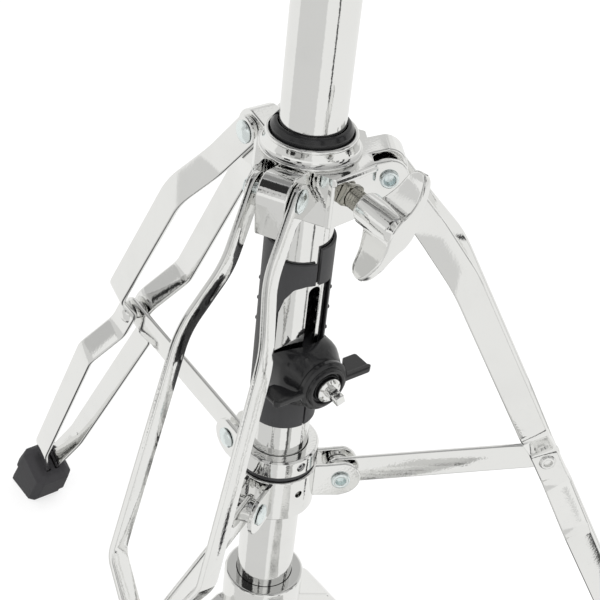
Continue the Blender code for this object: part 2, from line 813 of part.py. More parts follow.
def make_key_stud():
    profile = [
        (0, 40.0),
        (1.9, 40.0),
        (2.5, 39.2),
        (2.5, 37.6),
        (2.1, 37.3),
        (2.1, 36.4),
        (2.5, 36.1),
        (2.5, 33.6),
        (4.6, 33.6),
        (6.3, 32.6),
        (6.3, 30.9),
        (STUD_R, 30.9),
        (STUD_R, 8.5),
        (0, 8.5),
    ]
    stud = turned("key_stud", profile, 12, "chrome", front(STUD_Z))
    set_pivot(stud, (0, -26.0, STUD_Z))
    return stud


def make_spring_parts():
    outer = TUBE_BORE - GAP
    carrier = turned("spring_carrier", ring_profile(ROD_R + 0.6, outer, 284, 300, 0.6), 20, "black_plastic")
    cut(carrier, rod("carrier_hole", STUD_R + GAP, 7, 14, 12, None, front(STUD_Z)))
    set_pivot(carrier, (0, 0, 300.0))
    count = SPRING_POINTS * SPRING_TURNS
    path = []
    for i in range(count + 1):
        a = 2 * math.pi * i / SPRING_POINTS
        z = SPRING_LOW + (SPRING_HIGH - SPRING_LOW) * i / count
        path.append((SPRING_R * math.cos(a), SPRING_R * math.sin(a), z))
    wire("return_spring", path, SPRING_WIRE_R, "steel")
    gap = least_gap(path, SPRING_WIRE_R, SPRING_POINTS // 2)
    print(f"return spring: least gap between its curls {gap:.2f} mm")


# Pull rods and drive


def make_rods():
    profile = [
        (0, ROD_JOINT),
        (ROD_R, ROD_JOINT),
        (ROD_R, 384.0),
        (9.6, 384.0),
        (9.6, 376.0),
        (ROD_R, 376.0),
        (ROD_R, 156.0),
        (0, 156.0),
    ]
    turned("lower_rod", profile, 16, "steel")
    yoke = turned("drive_yoke", rod_profile(8.6, 133.0, 164.0, 0.8), 16, "steel")
    cut(yoke, rod("yoke_bore", ROD_R + GAP, 155.7, 170.0, 16))
    cut(yoke, block("yoke_slot", (-3.3, -12, 128), (3.3, 12, 152)))
    fuse(yoke, rod("yoke_pin", 2.0, -6, 6, 12, None, sideways(0, LINK_PIN_Z)))
    turned(
        "upper_rod",
        [
            (0, ROD_TOP),
            (ROD_R - 0.6, ROD_TOP),
            (ROD_R, ROD_TOP - 0.6),
            (ROD_R, 640.0),
            (5.5, 638.0),
            (5.5, 600.0),
            (ROD_R + GAP, 600.0),
            (ROD_R + GAP, ROD_JOINT + GAP),
            (0, ROD_JOINT + GAP),
        ],
        16,
        "chrome",
    )


def make_drive_link():
    """The flat drive link between the yoke and the toe of the footboard."""
    outline = arc((0, LINK_PIN_Z), 5.0, 0, 180, 7) + arc((0, TOE_PIN_Z), 6.0, 180, 360, 7)
    holes = (circle((0, LINK_PIN_Z), 2.0 + PIN_PLAY, 16), circle((0, TOE_PIN_Z), 3.6, 12))
    link = plate("drive_link", outline, -3.0, 3.0, "steel", sideways(0, 0), holes)
    set_pivot(link, (0, 0, LINK_PIN_Z))
    return link


def board_axes():
    """The toe direction and the upward normal of the footboard."""
    rise = math.atan2(72.0 - HEEL_AXIS_Z, -HEEL_AXIS_Y)
    return Vector((0, math.cos(rise), math.sin(rise))), Vector((0, -math.sin(rise), math.cos(rise)))


def make_footboard():
    along, normal = board_axes()
    length = -HEEL_AXIS_Y / along.y
    placement = place((0, HEEL_AXIS_Y, HEEL_AXIS_Z), normal, (1, 0, 0))
    half = BOARD_HALF
    toe = length + 6
    right = [(half - 3, 8), (half, 20), (half, toe - 26), (half - 9, toe - 7), (half - 16, toe)]
    right += [(7.2, toe), (7.2, toe - 14)]
    outline = right + [(-x, y) for x, y in reversed(right)]
    board = plate("footboard", outline, 2.5, 7.5, "chrome", placement)
    for k in range(7):
        y = 40 + k * 26
        rib = [(-half + 9, y), (half - 9, y), (half - 9, y + 12), (-half + 9, y + 12)]
        fuse(board, plate(f"board_rib_{k}", rib, 7.0, 9.0, None, placement))
    heel = sideways(HEEL_AXIS_Y, HEEL_AXIS_Z)
    knuckle = rod("board_knuckle", 6.0, -24, 24, 20, None, heel)
    neck = block("board_neck", (-24, 3, -1.5), (24, 14, 5.5), None, placement)
    fuse(board, neck, knuckle)
    for sign in (1, -1):
        low, high = sorted((sign * 6.8, sign * 9.8))
        cheek = [(-14, 62), (8, 66), *arc((0, TOE_PIN_Z), 6, 0, 180, 7)]
        fuse(board, plate(f"toe_cheek_{sign}", cheek, low, high, None, sideways(0, 0)))
    fuse(board, rod("toe_pin", 2.0, -8, 8, 12, None, sideways(0, TOE_PIN_Z)))
    cut(board, rod("board_hole", HINGE_PIN_R + PIN_PLAY, -30, 30, 16, None, heel))
    set_pivot(board, (0, HEEL_AXIS_Y, HEEL_AXIS_Z))
    return board


def along_rod(sign):
    """A placement on a radius rod's axis with Z toward the toe."""
    return place((sign * ROD_X, 0, RADIUS_ROD_Z), (0, 1, 0), (1, 0, 0))


def make_base():
    """The arch that carries the tube, with the bar across its foot."""
    outer = [(ARCH_HALF, 0), (ARCH_HALF, 40), (ARCH_HALF - 6, 92), (ARCH_HALF - 22, 116), (19, 128)]
    inner = [(-ARCH_INNER, 0), (-ARCH_INNER, 44), (-ARCH_INNER + 4, 84), (-ARCH_INNER + 18, 100)]
    outline = outer + [(-x, z) for x, z in reversed(outer)] + inner + [(-x, z) for x, z in reversed(inner)]
    base = plate("base_frame", outline, -14, 10, "chrome", front(0))
    fuse(base, turned("base_boss", rod_profile(BASE_BOSS_R, 101, BASE_BOSS_TOP, 1.2), 24))
    fuse(base, block("base_bar", (-ARCH_HALF + 1, -6, 0), (ARCH_HALF - 1, 34, 10)))
    wide = TUBE_R + GAP
    floor = TUBE_LOW - GAP
    bore = [(0, 90), (11.4, 90), (11.4, floor), (wide, floor), (wide, 160), (0, 160)]
    cut(base, turned("base_bore", bore, 28))
    for sign in (1, -1):
        cut(base, rod(f"base_rod_hole_{sign}", RADIUS_ROD_R + GAP, -12, 22, 12, None, along_rod(sign)))
        spur = place((sign * SPUR_X, SPUR_Y, 0), (0, 0, 1))
        cut(base, rod(f"spur_hole_{sign}", 3.3, -2, 20, 12, None, spur))
    return base


def make_heel():
    """The heel plate with its hinge lugs, pin and pad, and the two rods that hold it off the base."""
    end = HEEL_AXIS_Y - 25.7  # of the rods
    front_edge = HEEL_AXIS_Y - 11
    heel = block("heel_plate", (-43, front_edge - 78, 2.5), (43, front_edge, 10.5), "chrome")
    hinge = sideways(HEEL_AXIS_Y, HEEL_AXIS_Z)
    lug = [(front_edge - 7, 4), (HEEL_AXIS_Y, 9), *arc((HEEL_AXIS_Y, HEEL_AXIS_Z), 6.5, -70, 110, 7)]
    lug += [(front_edge - 1, 20), (front_edge - 7, 14)]
    for sign in (1, -1):
        low, high = sorted((sign * (24 + GAP), sign * 33))
        fuse(heel, plate(f"heel_lug_{sign}", lug, low, high, None, sideways(0, 0)))
    cut(heel, rod("heel_hole", HINGE_PIN_R + GAP, -40, 40, 16, None, hinge))
    for name, sign in (("radius_rod_right", 1), ("radius_rod_left", -1)):
        hole = (RADIUS_ROD_R + GAP, end - GAP, front_edge + 22)
        cut(heel, rod(name + "_hole", *hole, 12, None, along_rod(sign)))
        rod(name, RADIUS_ROD_R, end, 21.7, 12, "steel", along_rod(sign))
    block("heel_pad", (-38, front_edge - 73, 0), (38, front_edge - 18, 2.5 - GAP), "rubber")
    turned("hinge_pin", rod_profile(HINGE_PIN_R, -34.5, 34.5, 0.5), 16, "steel", hinge)


def make_spurs():
    for name, x in (("spur_right", SPUR_X), ("spur_left", -SPUR_X)):
        profile = [(0, 30), (4.5, 30), (5.5, 29), (5.5, 24), (4.5, 23)]
        profile += [(3.0, 23), (3.0, 3), (0.4, 0.1), (0, 0.1)]
        turned(name, profile, 12, "steel", place((x, SPUR_Y, 0), (0, 0, 1)))


# Height clamp, seat and clutch


def make_height_clamp():
    profile = ring_profile(UPPER_TUBE_R + GAP, 21.0, CLAMP_LOW, CLAMP_TOP, 1.5)
    clamp = turned("height_clamp", profile, 28, "chrome")
    fuse(clamp, block("clamp_lugs", (-11, -38, 558), (11, -14, 590)))
    cut(clamp, rod("clamp_bore", TUBE_R + GAP, CLAMP_LOW - 5, TUBE_TOP + GAP, 28))
    cut(clamp, block("clamp_slit", (-1.8, -45, 540), (1.8, -8, 610)))
    bolt_place = place((0, -29, 574), (-1, 0, 0), (0, 0, 1))
    cut(clamp, rod("clamp_bolt_hole", 3.4, -20, 20, 16, None, bolt_place))
    make_wing_screw("height_bolt", -15.0, 3.0, 12.0, 0.95, bolt_place, 20)
    nut = rod("height_nut", 7.0, -16.2, -11.0 - GAP, 6, "chrome", bolt_place)
    cut(nut, rod("height_nut_bore", 3.4, -20, -8, 16, None, bolt_place))
    return clamp


def make_memory_lock():
    low = CLAMP_TOP + GAP
    lock = turned("memory_lock", ring_profile(UPPER_TUBE_R + GAP, 17.5, low, low + 16, 1.2), 24, "chrome")
    cut(lock, block("lock_slit", (-1.2, -25, low - 4), (1.2, -8, low + 20)))
    return lock


def make_seat():
    inner = UPPER_TUBE_R + GAP
    profile = [
        (5.6, SEAT_Z + 9),
        (6.0, SEAT_Z + 10),
        (18.0, SEAT_Z + 10),
        (23.5, SEAT_Z + 8.6),
        (24.0, SEAT_Z + 7),
        (22.0, SEAT_Z + 4),
        (15.5, SEAT_Z),
        (15.0, SEAT_Z - 24),
        (inner, SEAT_Z - 24),
        (inner, UPPER_TUBE_TOP + GAP),
        (5.6, UPPER_TUBE_TOP + GAP),
    ]
    turned("cymbal_seat", profile, 24, "chrome")
    top = SEAT_Z + 10 + GAP
    turned("seat_felt", ring_profile(6.0, 21.0, top, top + 10, 1.5), 20, "felt")


def make_clutch():
    z = CLUTCH_Z
    body = turned(
        "clutch_body",
        [
            (ROD_R + 0.4, z + 68),
            (9.5, z + 68),
            (11.0, z + 66),
            (11.0, z + 44),
            (7.5, z + 40),
            (7.5, z + 34.5),
            (13.0, z + 34.5),
            (13.0, z + 31.5),
            (5.0, z + 31.5),
            (5.0, z + 0.5),
            (ROD_R + 0.4, z + 0.5),
        ],
        20,
        "chrome",
    )
    screw_place = front(z + 55)
    cut(body, rod("clutch_screw_hole", 2.9, 1, 16, 12, None, screw_place))
    make_wing_screw("clutch_screw", ROD_R + GAP, 2.5, 12.0, 0.65, screw_place, 0)
    turned("clutch_felt_upper", ring_profile(5.3, 15.0, z + 21.5, z + 31.2, 1.5), 20, "felt")
    turned("clutch_felt_lower", ring_profile(5.3, 15.0, z + 11.3, z + 21.2, 1.5), 20, "felt")
    turned("clutch_nut", ring_profile(5.1, 10.0, z + 1.5, z + 11.0, 1.0), 18, "chrome")


def make_tripod():
    for leg, azimuth in LEG_AZIMUTHS.items():
        make_strip(f"leg_{leg}_strip_a", azimuth, 1)
        make_strip(f"leg_{leg}_strip_b", azimuth, -1)
        make_foot(f"foot_{leg}", azimuth)
        make_strut(f"strut_{leg}", azimuth)
        hub_pivot = across_leg(azimuth, HUB_PIVOT_R, HUB_PIVOT_Z)
        make_rivet(f"hub_rivet_{leg}", hub_pivot, HUB_HALF + GAP, HUB_HALF + EAR_THICK + 2 * GAP)
        low_pivot = across_leg(azimuth, LOW_PIVOT_R, LOW_PIVOT_Z)
        make_rivet(f"low_rivet_{leg}", low_pivot, EAR_OUTER + GAP, EAR_OUTER + GAP)
    make_upper_hub()
    make_hub_bush()
    make_square_nut()
    place_screw = front(WING_Z)
    sizes = (BUSH_R + GAP, WING_SCREW_R, WING_BARREL_FROM, 1.0)
    screw = make_wing_screw("wing_screw", *sizes, place_screw, WING_TURN)
    set_pivot(screw, (0, -HUB_FRONT - 12.1, WING_Z))
    make_lower_hub()
    make_collar()


def main():
    make_lower_tube()
    make_upper_tube()
    make_tripod()
    make_sleeve()
    make_tension_clamp()
    make_tension_nut()
    make_key_stud()
    make_spring_parts()
    make_rods()
    make_drive_link()
    make_footboard()
    make_base()
    make_heel()
    make_spurs()
    make_height_clamp()
    make_memory_lock()
    make_seat()
    make_clutch()


main()
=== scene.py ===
"""Looks of a hi-hat stand: plated strips and tubes, cast hub, moulded plastic, felt and a pale studio.

Shapes are worked out in millimetres and built in metres. The stand's tube is the Z axis, the floor is
z = 0 and the pedal points to -Y.
"""

import json
import math

import bmesh
import bpy
from bpy.props import FloatProperty, FloatVectorProperty, IntProperty, PointerProperty
from mathutils import Matrix, Vector


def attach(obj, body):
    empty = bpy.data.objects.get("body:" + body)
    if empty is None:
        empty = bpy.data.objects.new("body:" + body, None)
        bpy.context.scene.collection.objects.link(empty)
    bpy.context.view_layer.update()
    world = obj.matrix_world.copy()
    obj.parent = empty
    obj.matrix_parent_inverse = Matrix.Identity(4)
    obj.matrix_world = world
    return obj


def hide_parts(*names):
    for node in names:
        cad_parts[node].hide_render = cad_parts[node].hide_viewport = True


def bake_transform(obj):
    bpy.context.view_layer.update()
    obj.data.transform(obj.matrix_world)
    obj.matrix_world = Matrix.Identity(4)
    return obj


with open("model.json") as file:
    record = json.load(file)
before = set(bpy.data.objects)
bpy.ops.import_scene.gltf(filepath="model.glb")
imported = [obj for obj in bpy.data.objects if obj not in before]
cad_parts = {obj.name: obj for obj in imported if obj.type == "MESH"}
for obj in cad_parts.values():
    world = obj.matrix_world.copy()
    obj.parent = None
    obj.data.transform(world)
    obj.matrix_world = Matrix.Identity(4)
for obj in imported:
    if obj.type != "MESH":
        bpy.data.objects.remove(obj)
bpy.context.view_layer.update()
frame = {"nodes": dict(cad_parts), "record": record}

bl_info = {
    "name": "Hi-hat stand looks",
    "version": (1, 0, 0),
    "blender": (4, 5, 0),
    "location": "3D View > Sidebar > Stand",
    "description": "Models and finishes the pieces of a hi-hat stand round its packed frame",
    "category": "Object",
}

MM = 0.001
GAP = 0.3
BODY_OF = {node: body for body, nodes in frame["record"]["behaviour"]["bodies"].items() for node in nodes}
SLOT_OF = {row["node"]: row["material_slot"] for row in frame["record"]["subparts"]}
LEG_AZIMUTHS = {"back": 90.0, "left": 210.0, "right": 330.0}

# Tubes and rods
TUBE_R = 14.3
TUBE_BORE = 12.7
ROD_R = 3.2

# Leg strips, in each leg's upright plane: radius and height
HUB_PIVOT = (32.6, 395.0)
FIRST_BEND = (54.5, 368.7)
SECOND_BEND = (73.3, 344.9)
LEG_SLOPE = 61.6
PINCH_AT = 132.5
FOOT_FROM = 350.0
STRIP_END = 371.0
STRIP_SPREAD = ((99.3, 22.2), (124.3, 6.2), (147.4, 6.2), (171.4, 21.0), (318.0, 14.0), (351.0, 4.6))
STRIP_WIDTH = 14.2
STRIP_THICK = 2.7
STRIP_TWIST = {"leg_left_strip_a": 9.0}
HUB_HALF = 11.0
SECOND_BEND_HALF = 20.2
LOW_PIVOT = (32.1, 218.1)
STRUT_WIDTH = 15.5
STRUT_THICK = 2.5

# Upper hub
HUB_LOW = 378.0
HUB_TOP = 402.0
HUB_FRONT = 27.9
BODY_FACE_R = 20.5
HUB_POSTS = {"left": (20.9, 20.5), "right": (20.4, 17.0), "back": (18.0, 15.5)}
EAR_BEND_R = 27.4
EAR_THICK = 2.7
LUG_NEAR = 8.0
LUG_FAR = 5.5
EARS = {"left": (1.0, 5.6), "right": (2.7, 8.6), "back": (2.7, 8.6)}  # thickness and nose radius
NOSE_R = 9.5
RING_R = 20.9
RING_TOP = 410.2
BUSH_R = 17.7
BUSH_TOP = 414.0
BUSH_SEAT = 384.0
WING_Z = 393.5
WING_TURN = 56.6

# Lower hub, collar and washer
LOW_HUB_R = 20.2
LOW_HUB_LOW = 203.0
LOW_HUB_TOP = 227.2
WASHER_TOP = 230.0
COLLAR_R = 19.9
COLLAR_TOP = 240.0
EAR_INNER = 4.8
EAR_OUTER = 7.3

# Slot, sleeve and spring tension clamp
TUBE_LOW = 112.3
TUBE_TOP = 575.0
SLOT_WIDTH = 6.2
SLOT_LOW = 264.0
SLOT_TOP = 338.0
SLEEVE_WALL = 1.4
SLEEVE_LOW = 258.8
SLEEVE_TOP = 358.5
STUD_Z = 292.0
NUB_HEIGHTS = (309.6, 321.0, 332.0)

# Pedal and height clamp
HEEL_AXIS = (-246.0, 16.0)
CLAMP_LOW = 550.0
CLAMP_TOP = 598.0


# Materials


class Graph:
    """Adds and links the nodes of one shader tree."""

    def __init__(self, tree):
        self.tree = tree

    def node(self, kind, inputs=None, **settings):
        made = self.tree.nodes.new(kind)
        for key, value in settings.items():
            setattr(made, key, value)
        for key, value in (inputs or {}).items():
            if isinstance(value, bpy.types.NodeSocket):
                self.tree.links.new(value, made.inputs[key])
            else:
                made.inputs[key].default_value = value
        return made

    def link(self, start, end):
        self.tree.links.new(start, end)

    def noise(self, vector, scale, detail=3.0, roughness=0.5):
        made = self.node("ShaderNodeTexNoise", {"Scale": scale, "Detail": detail, "Roughness": roughness})
        self.link(vector, made.inputs["Vector"])
        return made.outputs["Fac"]

    def remap(self, value, low, high, start, end):
        made = self.node("ShaderNodeMapRange", interpolation_type="SMOOTHSTEP")
        self.link(value, made.inputs["Value"])
        for name, number in (("From Min", low), ("From Max", high), ("To Min", start), ("To Max", end)):
            made.inputs[name].default_value = number
        return made.outputs["Result"]

    def math(self, operation, one, two):
        made = self.node("ShaderNodeMath", operation=operation)
        for index, value in enumerate((one, two)):
            if isinstance(value, bpy.types.NodeSocket):
                self.link(value, made.inputs[index])
            else:
                made.inputs[index].default_value = value
        return made.outputs[0]

    def mix(self, factor, one, two):
        """Two colours mixed by a factor."""
        made = self.node("ShaderNodeMix", data_type="RGBA")
        self.link(factor, made.inputs[0])
        for index, value in ((6, one), (7, two)):
            if isinstance(value, bpy.types.NodeSocket):
                self.link(value, made.inputs[index])
            else:
                made.inputs[index].default_value = (*value, 1.0)
        return made.outputs[2]


def new_group(name, inputs, outputs):
    """A shader node group with float inputs and outputs, its graph and its two end nodes."""
    tree = bpy.data.node_groups.new(name, "ShaderNodeTree")
    for socket, value in inputs.items():
        made = tree.interface.new_socket(socket, in_out="INPUT", socket_type="NodeSocketFloat")
        made.default_value = value
    for socket in outputs:
        tree.interface.new_socket(socket, in_out="OUTPUT", socket_type="NodeSocketFloat")
    graph = Graph(tree)
    return tree, graph, graph.node("NodeGroupInput"), graph.node("NodeGroupOutput")


def ripple_group():
    """Height of the slow ripple that pressing and plating leave in a metal surface, with fine orange peel."""
    inputs = {"Ripple Scale": 45.0, "Peel Scale": 900.0, "Peel": 0.12}
    tree, graph, start, end = new_group("pressed_ripple", inputs, ["Height"])
    place_of = graph.node("ShaderNodeTexCoord").outputs["Object"]
    ripple = graph.node("ShaderNodeTexNoise", {"Detail": 1.0, "Roughness": 0.3})
    peel = graph.node("ShaderNodeTexNoise", {"Detail": 2.0, "Roughness": 0.5})
    for noise, scale in ((ripple, "Ripple Scale"), (peel, "Peel Scale")):
        graph.link(place_of, noise.inputs["Vector"])
        graph.link(start.outputs[scale], noise.inputs["Scale"])
    fine = graph.math("MULTIPLY", peel.outputs["Fac"], start.outputs["Peel"])
    graph.link(graph.math("ADD", ripple.outputs["Fac"], fine), end.inputs["Height"])
    return tree


def wear_group():
    """Masks of handling: hairline scratches in two directions, and cloudy smears."""
    inputs = {"Hairline Scale": 260.0, "Smear Scale": 30.0}
    tree, graph, start, end = new_group("handling_wear", inputs, ["Hairlines", "Smears"])
    place_of = graph.node("ShaderNodeTexCoord").outputs["Object"]
    masks = []
    for turn, stretch in (((0.3, 0.1, 0.6), (1.0, 1.0, 0.03)), ((1.2, 0.4, 0.2), (0.04, 1.0, 1.0))):
        mapping = graph.node("ShaderNodeMapping", {"Rotation": turn, "Scale": stretch})
        graph.link(place_of, mapping.inputs["Vector"])
        noise = graph.node("ShaderNodeTexNoise", {"Detail": 2.0, "Roughness": 0.6})
        graph.link(mapping.outputs["Vector"], noise.inputs["Vector"])
        graph.link(start.outputs["Hairline Scale"], noise.inputs["Scale"])
        masks.append(graph.remap(noise.outputs["Fac"], 0.62, 0.7, 0.0, 1.0))
    smear = graph.node("ShaderNodeTexNoise", {"Detail": 4.0, "Roughness": 0.6})
    graph.link(place_of, smear.inputs["Vector"])
    graph.link(start.outputs["Smear Scale"], smear.inputs["Scale"])
    graph.link(graph.math("MAXIMUM", masks[0], masks[1]), end.inputs["Hairlines"])
    graph.link(graph.remap(smear.outputs["Fac"], 0.45, 0.75, 0.0, 1.0), end.inputs["Smears"])
    return tree


def spark_group():
    """Height of the fine spark texture of a mould, and a mask of pale dust caught in it."""
    tree, graph, start, end = new_group("mould_texture", {"Grain Scale": 2200.0}, ["Height", "Dust"])
    place_of = graph.node("ShaderNodeTexCoord").outputs["Object"]
    grain = graph.node("ShaderNodeTexNoise", {"Detail": 2.0, "Roughness": 0.6})
    graph.link(place_of, grain.inputs["Vector"])
    graph.link(start.outputs["Grain Scale"], grain.inputs["Scale"])
    graph.link(grain.outputs["Fac"], end.inputs["Height"])
    specks = graph.noise(place_of, 700.0, 4.0, 0.7)
    patches = graph.noise(place_of, 40.0, 3.0, 0.6)
    caught = graph.math("MULTIPLY", graph.remap(specks, 0.6, 0.8, 0.0, 1.0), graph.remap(patches, 0.4, 0.7, 0.2, 1.0))
    graph.link(caught, end.inputs["Dust"])
    return tree


class Finishes:
    """Makes each finish once, from the looks that the user set."""

    def __init__(self, looks):
        self.looks = looks
        self.made = {}
        self.groups = {"ripple": ripple_group(), "wear": wear_group(), "spark": spark_group()}

    def get(self, name):
        if name not in self.made:
            self.made[name] = getattr(self, "make_" + name)(name)
        return self.made[name]

    def start(self, name):
        material = bpy.data.materials.new(name)
        material.use_nodes = True
        graph = Graph(material.node_tree)
        return material, graph, material.node_tree.nodes["Principled BSDF"]

    def group(self, graph, name, **inputs):
        made = graph.node("ShaderNodeGroup", node_tree=self.groups[name])
        for key, value in inputs.items():
            made.inputs[key.replace("_", " ")].default_value = value
        return made.outputs

    def bump(self, graph, shader, height, depth, strength=1.0):
        made = graph.node("ShaderNodeBump", {"Strength": strength, "Distance": depth})
        graph.link(height, made.inputs["Height"])
        graph.link(made.outputs["Normal"], shader.inputs["Normal"])

    def metal(self, name, colour, shade, roughness, worn, ripple, ripple_scale=45.0, peel=0.12):
        """A plated or plain metal: its colour, a second shade in smears, and roughness raised by wear."""
        material, graph, shader = self.start(name)
        wear = self.group(graph, "wear")
        shader.inputs["Metallic"].default_value = 1.0
        graph.link(graph.mix(wear["Smears"], colour, shade), shader.inputs["Base Color"])
        rough = graph.math("ADD", graph.remap(wear["Smears"], 0.0, 1.0, roughness, worn), 0.0)
        lines = graph.remap(wear["Hairlines"], 0.0, 1.0, 0.0, 0.08)
        graph.link(graph.math("ADD", rough, lines), shader.inputs["Roughness"])
        waves = self.group(graph, "ripple", Ripple_Scale=ripple_scale, Peel=peel)
        self.bump(graph, shader, waves["Height"], ripple)
        return material

    def make_chrome(self, name):
        colour = tuple(self.looks.plate_colour)
        return self.metal(name, colour, tuple(c * 0.97 for c in colour), self.looks.plate_roughness, 0.06, 0.0002)

    def make_zinc(self, name):
        return self.metal(name, (0.84, 0.90, 0.90), (0.74, 0.81, 0.83), 0.18, 0.28, 0.0001, 200.0, 0.4)

    def make_nickel(self, name):
        return self.metal(name, (0.36, 0.35, 0.31), (0.26, 0.25, 0.22), 0.14, 0.28, 0.0001, 300.0, 0.5)

    def make_spring_steel(self, name):
        return self.metal(name, (0.10, 0.10, 0.10), (0.07, 0.07, 0.07), 0.4, 0.5, 0.0001, 120.0, 0.3)

    def make_steel(self, name):
        return self.metal(name, (0.52, 0.52, 0.53), (0.44, 0.44, 0.45), 0.26, 0.4, 0.0001, 120.0, 0.3)

    def plastic(self, name, colour, roughness, grain, depth):
        material, graph, shader = self.start(name)
        wear = self.group(graph, "wear", Smear_Scale=55.0)
        mould = self.group(graph, "spark", Grain_Scale=grain)
        dusted = graph.mix(graph.math("MULTIPLY", mould["Dust"], 0.35), colour, tuple(c * 2.2 + 0.03 for c in colour))
        graph.link(dusted, shader.inputs["Base Color"])
        rough = graph.remap(wear["Smears"], 0.0, 1.0, roughness, roughness + 0.1)
        graph.link(rough, shader.inputs["Roughness"])
        self.bump(graph, shader, mould["Height"], depth)
        return material

    def make_black_plastic(self, name):
        return self.plastic(name, tuple(self.looks.plastic_colour), 0.5, 2200.0, 0.00006)

    def make_gloss_plastic(self, name):
        return self.plastic(name, tuple(0.3 * c for c in self.looks.plastic_colour), 0.16, 1500.0, 0.00001)

    def make_rubber(self, name):
        return self.plastic(name, tuple(self.looks.rubber_colour), 0.72, 900.0, 0.00012)

    def make_felt(self, name):
        material, graph, shader = self.start(name)
        place_of = graph.node("ShaderNodeTexCoord").outputs["Object"]
        fibres = graph.noise(place_of, 900.0, 5.0, 0.75)
        clumps = graph.noise(place_of, 160.0, 4.0, 0.6)
        colour = tuple(self.looks.felt_colour)
        shade = graph.mix(graph.remap(clumps, 0.35, 0.7, 0.0, 1.0), colour, tuple(c * 0.86 for c in colour))
        speck = graph.mix(graph.remap(fibres, 0.6, 0.72, 0.0, 0.5), shade, tuple(c * 0.6 for c in colour))
        graph.link(speck, shader.inputs["Base Color"])
        shader.inputs["Roughness"].default_value = 0.95
        shader.inputs["Sheen Weight"].default_value = 0.4
        shader.inputs["Sheen Roughness"].default_value = 0.6
        height = graph.math("ADD", fibres, graph.math("MULTIPLY", clumps, 1.5))
        self.bump(graph, shader, height, 0.0005)
        return material


FINISHES = {}


def finish_of(slot):
    """The material of a slot, made from the looks of the scene the first time it is asked for."""
    if "all" not in FINISHES:
        FINISHES["all"] = Finishes(bpy.context.scene.stand_looks)
    return FINISHES["all"].get(slot)


# Shapes


def place(point, z_axis, x_axis=(1, 0, 0)):
    """A placement at a point in mm, with its Z along z_axis and its X near x_axis."""
    z = Vector(z_axis).normalized()
    x = Vector(x_axis)
    x = (x - z * x.dot(z)).normalized()
    turn = Matrix((x, z.cross(x), z)).transposed().to_4x4()
    return Matrix.Translation(Vector(point) * MM) @ turn


def front(z):
    """A placement on the tube's axis with Z toward the player and X to the right."""
    return place((0, 0, z), (0, -1, 0), (1, 0, 0))


def sideways(y, z):
    """A placement with Z to the right and X toward the toe, for pins across the pedal."""
    return place((0, y, z), (1, 0, 0), (0, 1, 0))


def leg_axes(azimuth):
    """The outward and the sideways direction of a leg."""
    a = math.radians(azimuth)
    return Vector((math.cos(a), math.sin(a), 0)), Vector((-math.sin(a), math.cos(a), 0))


def leg_place(azimuth):
    """A placement with X outward along the leg, Y up and Z against the leg's side direction."""
    out, across = leg_axes(azimuth)
    return place((0, 0, 0), -across, out)


def across_leg(azimuth, point):
    """A placement at a point of a leg's plane with Z along the leg's side direction."""
    out, across = leg_axes(azimuth)
    return place(out * point[0] + Vector((0, 0, point[1])), across, out)


def leg_point(distance):
    """Radius and height on a leg's centre line, at a distance past the second bend."""
    a = math.radians(LEG_SLOPE)
    return SECOND_BEND[0] + distance * math.cos(a), SECOND_BEND[1] - distance * math.sin(a)


def arc(centre, radius, start, end, count):
    """Points on an arc, angles in degrees."""
    found = []
    for i in range(count):
        a = math.radians(start + (end - start) * i / (count - 1))
        found.append((centre[0] + radius * math.cos(a), centre[1] + radius * math.sin(a)))
    return found


def circle(centre, radius, count=48):
    return arc(centre, radius, 0, 360 * (count - 1) / count, count)


def rounded(points, radius, closed=True, steps=5):
    """A flat line with rounded corners. A point may carry its own radius as its third number."""
    made = []
    count = len(points)
    for i, point in enumerate(points):
        here = Vector(point[:2])
        r = point[2] if len(point) > 2 else radius
        if r <= 0 or (not closed and i in (0, count - 1)):
            made.append(here)
            continue
        back = Vector(points[i - 1][:2]) - here
        ahead = Vector(points[(i + 1) % count][:2]) - here
        angle = back.angle(ahead)
        if angle > math.pi - 0.02:
            made.append(here)
            continue
        reach = min(r / math.tan(angle / 2), 0.49 * back.length, 0.49 * ahead.length)
        start = here + back.normalized() * reach
        middle = (back.normalized() + ahead.normalized()).normalized()
        centre = here + middle * reach / math.cos(angle / 2)
        arm = start - centre
        turn = (here + ahead.normalized() * reach - centre).angle_signed(arm)
        for k in range(steps + 1):
            c, s = math.cos(turn * k / steps), math.sin(turn * k / steps)
            made.append(centre + Vector((arm.x * c - arm.y * s, arm.x * s + arm.y * c)))
    return made


def finish_mesh(name, bm, placement=Matrix(), sharp=35.0):
    """Turns a bmesh into an object with smooth faces, and sharp edges past an angle in degrees."""
    bmesh.ops.remove_doubles(bm, verts=bm.verts, dist=1e-7)
    bmesh.ops.recalc_face_normals(bm, faces=bm.faces)
    bmesh.ops.transform(bm, matrix=placement, verts=bm.verts)
    mesh = bpy.data.meshes.new(name)
    bm.to_mesh(mesh)
    bm.free()
    mesh.shade_smooth()
    mesh.set_sharp_from_angle(angle=math.radians(sharp))
    obj = bpy.data.objects.new(name, mesh)
    bpy.context.scene.collection.objects.link(obj)
    return obj


def lathe(name, profile, placement=Matrix(), steps=96, edge=0.3):
    """Turns (radius, height) points about the placement's Z, its corners rounded by an edge radius."""
    on_axis = profile[0][0] == 0
    line = rounded(profile, edge, not on_axis)
    bm = bmesh.new()
    points = [bm.verts.new((r * MM, 0, z * MM)) for r, z in line]
    edges = [bm.edges.new(pair) for pair in zip(points, points[1:])]
    if not on_axis:
        edges.append(bm.edges.new((points[-1], points[0])))
    bmesh.ops.spin(
        bm, geom=points + edges, axis=(0, 0, 1), cent=(0, 0, 0), angle=2 * math.pi, steps=steps, use_merge=True
    )
    return finish_mesh(name, bm, placement, 50.0)


